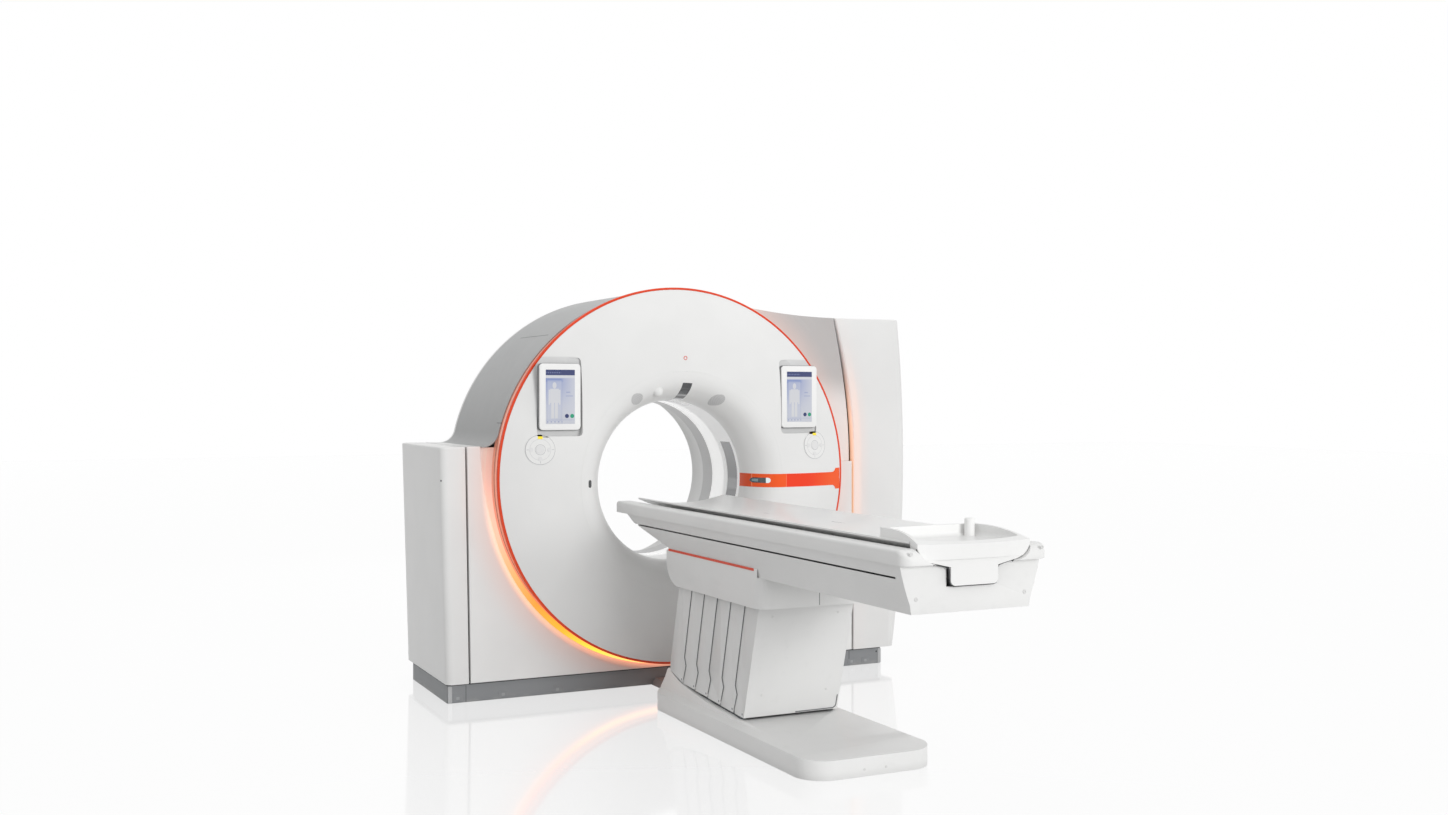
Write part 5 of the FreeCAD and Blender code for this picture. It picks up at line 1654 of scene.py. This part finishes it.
PAINTED: dict[Paints, str] = {
    Paints.GANTRY: "front_cover front_funnel",
    Paints.CABINET: "front_fascia left_cabinet",
    Paints.WING: "wing_cover",
    Paints.CABINET_SIDE: "right_cabinet",
    Paints.REAR: "rear_cover rear_funnel",
    Paints.DRUM: "drum_cover",
    Paints.ACCENT: "accent_ring saddle_strip",
    Paints.LIGHT: "light_ring",
    Paints.BAND: "name_band",
    Paints.TABLET: "tablets",
    Paints.PAD: "control_pads",
    Paints.PLINTH: "plinth_skirt",
    Paints.FRAME: "base_frame stator_frame table_base_frame lift_arm_front lift_arm_rear",
    Paints.BRIGHT: "bearing_outer_race collimator",
    Paints.DUCT: "brush_block cable_duct",
    Paints.LINER: "bore_liner_front",
    Paints.LINER_BACK: "bore_liner_rear",
    Paints.FILM: "scan_window",
    Paints.LASER: "laser_windows",
    Paints.ALUMINIUM: "rotor_frame",
    Paints.COPPER: "slip_ring",
    Paints.TABLE: "table_body table_rim saddle table_base_cover",
    Paints.TABLE_STEEL: "table_rails cradle_carriage",
    Paints.BOARD: "cradle_board foot_tray",
    Paints.LAMELLA: "gantry_side_cover lamella_1 lamella_2 lamella_3 lamella_4 foot_side_cover",
}
NODE_PAINTS: dict[str, Paints] = {
    node: paint for paint, nodes in PAINTED.items() for node in nodes.split()}


def dress_frame() -> None:
    """Gives every construction node its finish; the closed units inside share one."""
    for name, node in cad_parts.items():
        paint = NODE_PAINTS.get(name, Paints.KEY if name.endswith("_key") else Paints.UNIT)
        for index in range(len(node.data.materials)):
            node.data.materials[index] = paint.material()


@dataclass
class Gantry:
    """The disc and housing, with what lies on them."""

    seams: dict[str, float] = field(default_factory=lambda: {
        "left_cabinet": 0.0015, "right_cabinet": 0.0015, "plinth_skirt": 0.003,
        "wing_cover": 0.002})
    skirt_radii: tuple[float, float] = (0.9407, 0.9412)
    skirt_along: tuple[float, float] = (-0.2998, -0.2645)
    strip_across: tuple[float, float] = (-0.006, 0.046)
    strip_along: tuple[float, float] = (-0.4626, -0.2985)
    speakers: tuple[tuple[str, Point], ...] = (
        ("left", (-0.253, -0.4556, 1.471)), ("right", (0.203, -0.4246, 1.4654)))
    port_place: Point = (-0.5065, -0.4666, 1.056)
    lock_place: Point = (-1.2, -0.272, 1.079)
    readout_place: Point = (0.4590, -0.420, 1.0475)
    mark_height: float = 1.677
    lamp_rise: float = 0.0580
    plinth_covers: tuple[float, ...] = (-1.108, -0.881, -0.600, 0.600, 1.108, 1.196)
    plinth_joints: tuple[float, ...] = (-1.068, 0.0, 1.092)
    door_places: tuple[float, float] = (-0.860, 0.860)
    door_size: tuple[float, float] = (0.300, 0.980)
    door_height: float = 0.640
    vent_height: float = 0.280
    vent_pitch: float = 0.016
    vent_rows: int = 12

    def build(self) -> None:
        """Builds every piece of the gantry."""
        for step in (self.panels, self.rings, self.funnel_details, self.disc_marks,
                     self.band_window, self.plinth_marks, self.side_details, self.rear_details):
            step()

    def panels(self) -> None:
        """Softens the edges of the cabinets, the wing and the plinth."""
        for node, width in self.seams.items():
            slot = "plinth_grey" if node == "plinth_skirt" else "cabinet_white"
            fit(softened(node, width), NODE_PAINTS[node], ROOT, slot, node)

    def rings(self) -> None:
        """The rounded accent ring, and the light guide's thin lining behind it."""
        low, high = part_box("accent_ring")
        outer, inner, soft, small = MARKS.ring_radius, MARKS.disc_radius + 0.0003, 0.003, 0.001
        ring = turned("orange_ring", [
            (high.y, inner), (low.y + small, inner), (low.y, inner + small), (low.y, outer - soft),
            (low.y + soft * 0.3, outer - soft * 0.3), (low.y + soft, outer),
            (high.y - small, outer), (high.y, outer - small)], MARKS.ring_height)
        fit(ring, Paints.ACCENT, ROOT, "accent_orange", "accent_ring")
        (front, back), (foot, top) = self.skirt_along, self.skirt_radii
        skirt = turned("light_skirt", [(back, foot), (front, foot), (front, top), (back, top)],
                       MARKS.ring_height)
        fit(skirt, Paints.LIGHT, ROOT, "light_guide")

    def funnel_details(self) -> None:
        """The smoked strip window, the speakers and the dark port on the funnel."""
        (left, right), (front, back) = self.strip_across, self.strip_along
        cuts = [((left, 0, 0), LEFT), ((right, 0, 0), RIGHT), ((0, front, 0), FRONT),
                ((0, back, 0), BACK), ((0, 0, MARKS.axis_height), -UP)]
        strip = patch("strip_window", "front_funnel", cuts,
                      lambda face: face.normal.y + face.normal.z < -0.3, 0.0006)
        fit(strip, Paints.STRIP, ROOT, "dark_window")
        for side, place in self.speakers:
            speaker = laid_on(side + "_speaker", (0.070, 0.056), place, "front_funnel", 0.0005,
                              0.0275)
            fit(speaker, Paints.SPEAKER, ROOT, "gantry_white")
        port = laid_on("side_port", (0.017, 0.038), self.port_place, "front_funnel",
                       0.0012, 0.0082)
        fit(port, Paints.PORT, ROOT, "dark_window")

    def disc_marks(self) -> None:
        """The red ring mark, the pads' lamps, the tablets' shells, their screens and the painted
        shadow round them.
        """
        mark = hoop("red_mark", 0.0085, 0.0016, (0.001, MARKS.face - 0.0003, self.mark_height))
        fit(mark, Paints.RED, ROOT, "accent_orange")
        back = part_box("tablets")[1].y
        lamp = Plate(0.024, 0.0125, 0.0012, 0.0035)
        screen = Plate(0.148, 0.262, 0.0012, 0.002, 0.0003)
        shell = Plate(0.210, 0.322, back - MARKS.tablet_face, 0.019, 0.0035)
        # A grey plate behind each tablet whose rim paints the shadow round the tablet.
        tray = Plate(0.2145, 0.3265, 0.020, 0.021, 0.001)
        for side, sign in (("left", -1), ("right", 1)):
            middle, outward = MARKS.pad_frame(sign)
            upward = outward.cross(UP.cross(outward).normalized())
            across, up = sign * MARKS.tablet_offset, MARKS.tablet_height
            fit(lamp.make(side + "_pad_lamp", middle + upward * self.lamp_rise + outward * 0.0008,
                          outward), Paints.LAMP, ROOT, "accent_orange")
            fit(screen.make(side + "_screen", (across, MARKS.tablet_face - 0.0001, up)),
                Paints.SCREEN, ROOT, "tablet_white")
            fit(shell.make(side + "_tablet_shell", (across, back, up)), Paints.TABLET, ROOT,
                "tablet_white", "tablets")
            fit(tray.make(side + "_tablet_tray", (across, back, up)), Paints.SOFT_GAP, ROOT,
                "tablet_white")

    def band_window(self) -> None:
        """The rounded readout in the orange stripe."""
        window = laid_on("status_window", (0.071, 0.027), self.readout_place, "name_band",
                         0.0008, 0.0130)
        fit(window, Paints.STATUS, ROOT, "dark_window")

    def plinth_marks(self) -> None:
        """The levelling-foot covers, joints, corner columns and the painted shadow in the gap over
        the plinth.
        """
        low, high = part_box("plinth_skirt")
        cover = Plate(0.046, 0.032, 0.0014, 0.006)
        button = Plate(0.016, 0.014, 0.0008, 0.003, 0.0002)
        joint = Plate(0.002, 0.080, 0.0008, 0.0004, 0.0)
        column = Plate(0.020, 0.082, 0.002, 0.006, 0.001)
        cover_height, middle, inset = 0.022, 0.042, 0.013
        # A dark strip that paints the shadow in the gap over the plinth.
        gap = Plate(high.x - low.x - 0.02, 0.009, 0.002, 0.001, 0.0)
        marks = [(cover, f"cover_{index}", across, 0.0, cover_height, Paints.PLINTH)
                 for index, across in enumerate(self.plinth_covers)]
        marks += [(button, f"button_{index}", across, cover.thick, cover_height,
                   Paints.PLINTH_LIGHT) for index, across in enumerate(self.plinth_covers)]
        marks += [(joint, f"joint_{index}", across, 0.0, middle, Paints.SHADOW)
                  for index, across in enumerate(self.plinth_joints)]
        marks += [(Puck(0.0045, 0.0012, 0.0004), "bolt", 1.268, 0.0, 0.066, Paints.SHADOW),
                  (column, "left_corner", low.x + inset, 0.0, middle, Paints.PLINTH_EDGE),
                  (column, "right_corner", high.x - inset, 0.0, middle, Paints.PLINTH_EDGE),
                  (gap, "gap", (low.x + high.x) / 2, 0.0, 0.0898, Paints.SHADOW)]
        for kind, name, across, ahead, up, paint in marks:
            fit(kind.make("plinth_" + name, (across, low.y - ahead, up)), paint, ROOT,
                "plinth_grey")

    def side_details(self) -> None:
        """The service lock on the left cabinet's side."""
        lock = laid_on("side_lock", (0.009, 0.009), self.lock_place, "soft_left_cabinet",
                       0.0006, 0.0044, LEFT)
        fit(lock, Paints.SEAM, ROOT, "cabinet_white")

    def rear_details(self) -> None:
        """The back's service doors with their locks and vents."""
        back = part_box("rear_cover")[1].y
        wide, tall = self.door_size
        door = Plate(wide, tall, 0.003, 0.012, 0.0012)
        lock = Puck(0.010, 0.002, 0.0008, 0.001, 0.004)
        vent, inset = Plate(0.180, 0.006, 0.0006, 0.0028, 0.0), 0.025
        for index, across in enumerate(self.door_places):
            fit(door.make(f"rear_door_{index}", (across, back, self.door_height), BACK),
                Paints.REAR, ROOT, "gantry_white")
            front = back + door.thick
            for corner in range(4):
                place = (across + (wide / 2 - inset) * (1, -1)[corner % 2], front,
                         self.door_height + (tall / 2 - inset) * (1, -1)[corner // 2])
                fit(lock.make(f"rear_lock_{index}_{corner}", place, BACK), Paints.SCREW, ROOT,
                    "bright_steel")
            for row in range(self.vent_rows):
                up = self.vent_height + row * self.vent_pitch
                fit(vent.make(f"rear_vent_{index}_{row}", (across, front, up), BACK),
                    Paints.SOFT_GAP, ROOT, "gantry_white")


@dataclass
class Pedestal:
    """The table's foot, its lamellae and the saddle over them.

    The first plate's pivot, the step to the next one and the shape of a plate's edge are places
    along Y and up. Each plate stands "face_step" nearer to the middle than the one before.
    """

    bodies: tuple[str, ...] = ("gantry_side_cover", "lamella_1", "lamella_2", "lamella_3",
                               "lamella_4", "foot_side_cover")
    pivot: tuple[float, float] = (-0.975, 0.168)
    step: tuple[float, float] = (-0.126, -0.0102)
    face: float = 0.246
    face_step: float = 0.003
    edge: tuple[tuple[float, float], ...] = (
        (-0.0140, 0.002), (-0.044, 0.070), (-0.027, 0.107), (-0.1315, 0.509), (-0.1315, 0.530))
    lean: float = 158 / 548
    gap_along: float = -1.5855
    gap_height: float = 0.1075
    gap: tuple[tuple[float, float], ...] = (
        (0.020, 0.1115), (0.100, 0.1115), (0.208, 0.1120), (0.2185, 0.1190), (0.2215, 0.1280),
        (0.2215, 0.1720))
    cover_screws: tuple[tuple[float, float], ...] = (
        (-0.160, 0.554), (0.160, 0.554), (-0.160, 0.203), (0.160, 0.203))
    base_screws: tuple[tuple[float, float], ...] = ((-0.050, 0.028), (0.050, 0.028))

    def build(self) -> None:
        """Builds every piece of the pedestal."""
        for node in self.bodies:
            fit(softened(node, 0.0007), Paints.LAMELLA, node, "table_white", node)
        for node, width, body in (("table_base_cover", 0.004, ROOT),
                                  ("saddle", 0.003, "table_top")):
            fit(softened(node, width, segments=3), Paints.TABLE, body, "table_white", node)
        self.seams()
        self.foot_gap()
        self.saddle_joint()
        self.screws()

    def seams(self) -> None:
        """The shadow line along each plate's foot-side edge, on both sides."""
        for index, node in enumerate(self.bodies[:-1]):
            along, up = (self.pivot[axis] + index * self.step[axis] for axis in (0, 1))
            edge = self.edge if index < 4 else (*self.edge[:3], (-0.1290, 0.4985))
            for side, sign in (("left", -1), ("right", 1)):
                across = sign * (self.face - index * self.face_step - 0.00145)
                points = [(across, along + reach - 0.0018, up + rise) for reach, rise in edge]
                fit(ribbon(f"{node}_{side}_seam", points, 0.0052, 0.0024, 0), Paints.SEAM, node,
                    "table_white")

    def foot_gap(self) -> None:
        """The painted shadow of the gap at the foot cover's lower right corner."""
        points = [(across, self.gap_along - (up - self.gap_height) * self.lean, up)
                  for across, up in self.gap]
        fit(line("foot_gap", points, 0.0050), Paints.SEAM, "foot_side_cover", "table_white")

    def saddle_joint(self) -> None:
        """The upright joint in the saddle's foot wall."""
        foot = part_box("saddle")[0].y
        joint = Plate(0.0026, 0.066, 0.0006, 0.0005, 0.0)
        fit(joint.make("saddle_joint", (0.019, foot, 0.6375)), Paints.SOFT_GAP, "table_top",
            "table_white")

    def screws(self) -> None:
        """The small screws of the foot-side cover and of the base's front."""
        screw, ahead = Screw(0.0055, 0.0016), -2.6
        for kind, target, body, places in (
                ("cover", "soft_foot_side_cover", "foot_side_cover", self.cover_screws),
                ("base", "soft_table_base_cover", ROOT, self.base_screws)):
            for index, (across, up) in enumerate(places):
                place, normal = struck(target, (across, ahead, up), BACK)
                fit(screw.make(f"{kind}_screw_{index}", place, normal), Paints.CAP, body,
                    "bright_steel")


@dataclass
class TableTop:
    """The table's body and rim with the cradle that runs in it."""

    outline: tuple[tuple[float, float], ...] = (
        (0.2405, 0.9580), (0.2375, 0.9500), (0.2312, 0.9400), (0.2226, 0.9300), (0.2105, 0.9205),
        (0.1915, 0.9105), (0.1735, 0.9045), (0.1680, 0.8975), (0.1615, 0.9020), (0.1480, 0.8983),
        (0.1240, 0.8927), (0.1090, 0.8880), (0.1040, 0.8800), (0.1035, 0.8430), (0.1010, 0.8330),
        (0.0950, 0.8255), (0.0850, 0.8218))
    slots: tuple[tuple[tuple[float, float], tuple[float, float]], ...] = (
        ((0.062, -1.212), (0.086, -1.343)), ((0.095, -1.773), (0.101, -1.911)))
    rim_screw: tuple[float, float] = (0.278, 0.945)
    body_screw: tuple[float, float] = (0.232, 0.783)

    def build(self) -> None:
        """Builds every piece of the table top."""
        for node, width in (("table_body", 0.004), ("table_rim", 0.003)):
            fit(softened(node, width, segments=3), Paints.TABLE, "table_top", "table_white", node)
        fit(softened("cradle_board", 0.002), Paints.BOARD, "cradle", "board_white", "cradle_board")
        self.tray_gap()
        self.cradle_marks()
        self.screws()

    def tray_gap(self) -> None:
        """The painted shadow in the gap round the foot tray's front."""
        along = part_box("foot_tray")[0].y + 0.0190
        right = [(across, along, up) for across, up in self.outline]
        left = [(-across, along, up) for across, _, up in reversed(right)]
        fit(ribbon("tray_gap", [*right, *left], 0.0040, 0.0050, 1), Paints.SHADOW, "cradle",
            "board_white")

    def cradle_marks(self) -> None:
        """The two short slots of the cradle's middle."""
        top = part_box("cradle_board")[1].z
        for index, (start, end) in enumerate(self.slots):
            points = [struck("soft_cradle_board", (*place, top + 0.2), -UP)[0]
                      for place in (start, end)]
            fit(ribbon(f"cradle_slot_{index}", points, 0.0035, 0.0008, 2), Paints.SOFT_GAP,
                "cradle", "board_white")

    def screws(self) -> None:
        """The screws of the rim's face and of the body's foot wall."""
        rim_foot, body_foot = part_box("table_rim")[0].y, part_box("table_body")[0].y
        for label, side in (("left", -1), ("right", 1)):
            for name, screw, foot, (across, up) in (
                    ("rim", Screw(0.007, 0.002), rim_foot, self.rim_screw),
                    ("body", Screw(0.008, 0.002), body_foot, self.body_screw)):
                fit(screw.make(f"{name}_screw_{label}", (side * across, foot, up)), Paints.CAP,
                    "table_top", "bright_steel")


# ------------------------------------------------------------------ stage, light and camera

@dataclass
class Studio:
    """A white floor and background, soft lamps and the camera.

    Each lamp of the plan has its name, place, target, size and power.
    """

    ambient: float = 0.65
    floor_share: float = 0.91
    lens: float = 35.84
    place: Point = (-3.01, -7.079, 1.485)
    pitch: float = 89.55
    heading: float = -26.05
    lamp_plan: tuple[tuple[str, Point, Point, float, float], ...] = (
        ("key_lamp", (4.0, -24.0, 5.0), (0.0, -1.0, 1.0), 8.0, 2450),
        ("top_lamp", (-0.4, 0.0, 5.4), (0.0, -0.6, 0.0), 4.0, 34),
        ("back_lamp", (0.5, 5.5, 3.4), (0.0, 0.0, 1.0), 3.6, 40))

    def build(self) -> None:
        """Sets up floor, world, lamps and camera."""
        self.floor()
        self.world()
        self.lamps()
        self.camera()
        bpy.context.scene.view_settings.view_transform = "Standard"

    def floor(self) -> None:
        """A white glossy floor, brighter to the camera so that its shadows stay soft."""
        bpy.ops.mesh.primitive_grid_add(x_subdivisions=8, y_subdivisions=8, size=60,
                                        location=(0, 0, -0.0005))
        floor = started("studio_floor")
        recipe = Recipe("studio_white")
        rays = recipe.node("ShaderNodeLightPath")
        seen = [Signal(recipe, rays.socket.node.outputs[name]) for name in (
            "Is Camera Ray", "Is Glossy Ray", "Is Transmission Ray")]
        shown = seen[0] | seen[1] | seen[2]
        worn = recipe.noise(0.8).rise(0.3, 0.7) * 0.01
        pale = recipe.mix(worn, (0.88, 0.88, 0.88), (0.84, 0.84, 0.84))
        matt = recipe.node("ShaderNodeBsdfDiffuse", values={
            "Color": recipe.mix(shown, (0.55, 0.55, 0.55), pale)})
        lit = recipe.node("ShaderNodeEmission", values={"Color": (1.0, 1.0, 1.0), "Strength": 1.0})
        white = recipe.node("ShaderNodeMixShader", values={0: shown * self.floor_share, 1: matt,
                                                           2: lit})
        gloss = recipe.node("ShaderNodeBsdfGlossy", values={"Color": (1.0, 1.0, 1.0),
                                                            "Roughness": 0.07})
        mirror = recipe.node("ShaderNodeFresnel", values={"IOR": 1.25})
        finished = recipe.node("ShaderNodeMixShader", values={0: mirror, 1: white, 2: gloss})
        floor.data.materials.append(recipe.close(finished))

    def world(self) -> None:
        """White to the camera and to reflections, plain soft light otherwise."""
        world = bpy.data.worlds.new("studio_world")
        world.use_nodes = True
        tree = world.node_tree
        tree.nodes.clear()
        path = tree.nodes.new("ShaderNodeLightPath")
        shown = path.outputs["Is Camera Ray"]
        for kind in ("Is Glossy Ray", "Is Transmission Ray"):
            either = tree.nodes.new("ShaderNodeMath")
            either.operation = "MAXIMUM"
            tree.links.new(shown, either.inputs[0])
            tree.links.new(path.outputs[kind], either.inputs[1])
            shown = either.outputs[0]
        soft, white = tree.nodes.new("ShaderNodeBackground"), tree.nodes.new("ShaderNodeBackground")
        soft.inputs["Strength"].default_value = self.ambient
        soft.inputs["Color"].default_value = white.inputs["Color"].default_value = (1, 1, 1, 1)
        mixed = tree.nodes.new("ShaderNodeMixShader")
        tree.links.new(shown, mixed.inputs[0])
        tree.links.new(soft.outputs[0], mixed.inputs[1])
        tree.links.new(white.outputs[0], mixed.inputs[2])
        output = tree.nodes.new("ShaderNodeOutputWorld")
        tree.links.new(mixed.outputs[0], output.inputs["Surface"])
        bpy.context.scene.world = world

    def lamps(self) -> None:
        """Large soft lamps that reflections don't show: a key in front, one above, one behind."""
        for name, place, target, size, power in self.lamp_plan:
            bpy.ops.object.light_add(type="AREA", location=place)
            lamp = bpy.context.object
            lamp.name = name
            lamp.data.size, lamp.data.energy = size, power
            lamp.visible_glossy = False
            ahead = Vector(target) - Vector(place)
            lamp.rotation_euler = ahead.to_track_quat("-Z", "Y").to_euler()

    def camera(self) -> None:
        """The photograph's viewpoint."""
        bpy.ops.object.camera_add(location=self.place, rotation=(math.radians(self.pitch), 0,
                                                                 math.radians(self.heading)))
        camera = bpy.context.object
        camera.data.lens, camera.data.sensor_width = self.lens, 36.0
        bpy.context.scene.camera = camera


def main() -> None:
    """Dresses the scanner and sets it in the studio."""
    logging.basicConfig(level=logging.INFO, format="%(message)s")
    dress_frame()
    for part in (Gantry(), Pedestal(), TableTop(), Studio()):
        part.build()
        LOG.info("%s is built", type(part).__name__)
    alone(bpy.context.scene.camera)


if __name__ == "__main__":
    main()
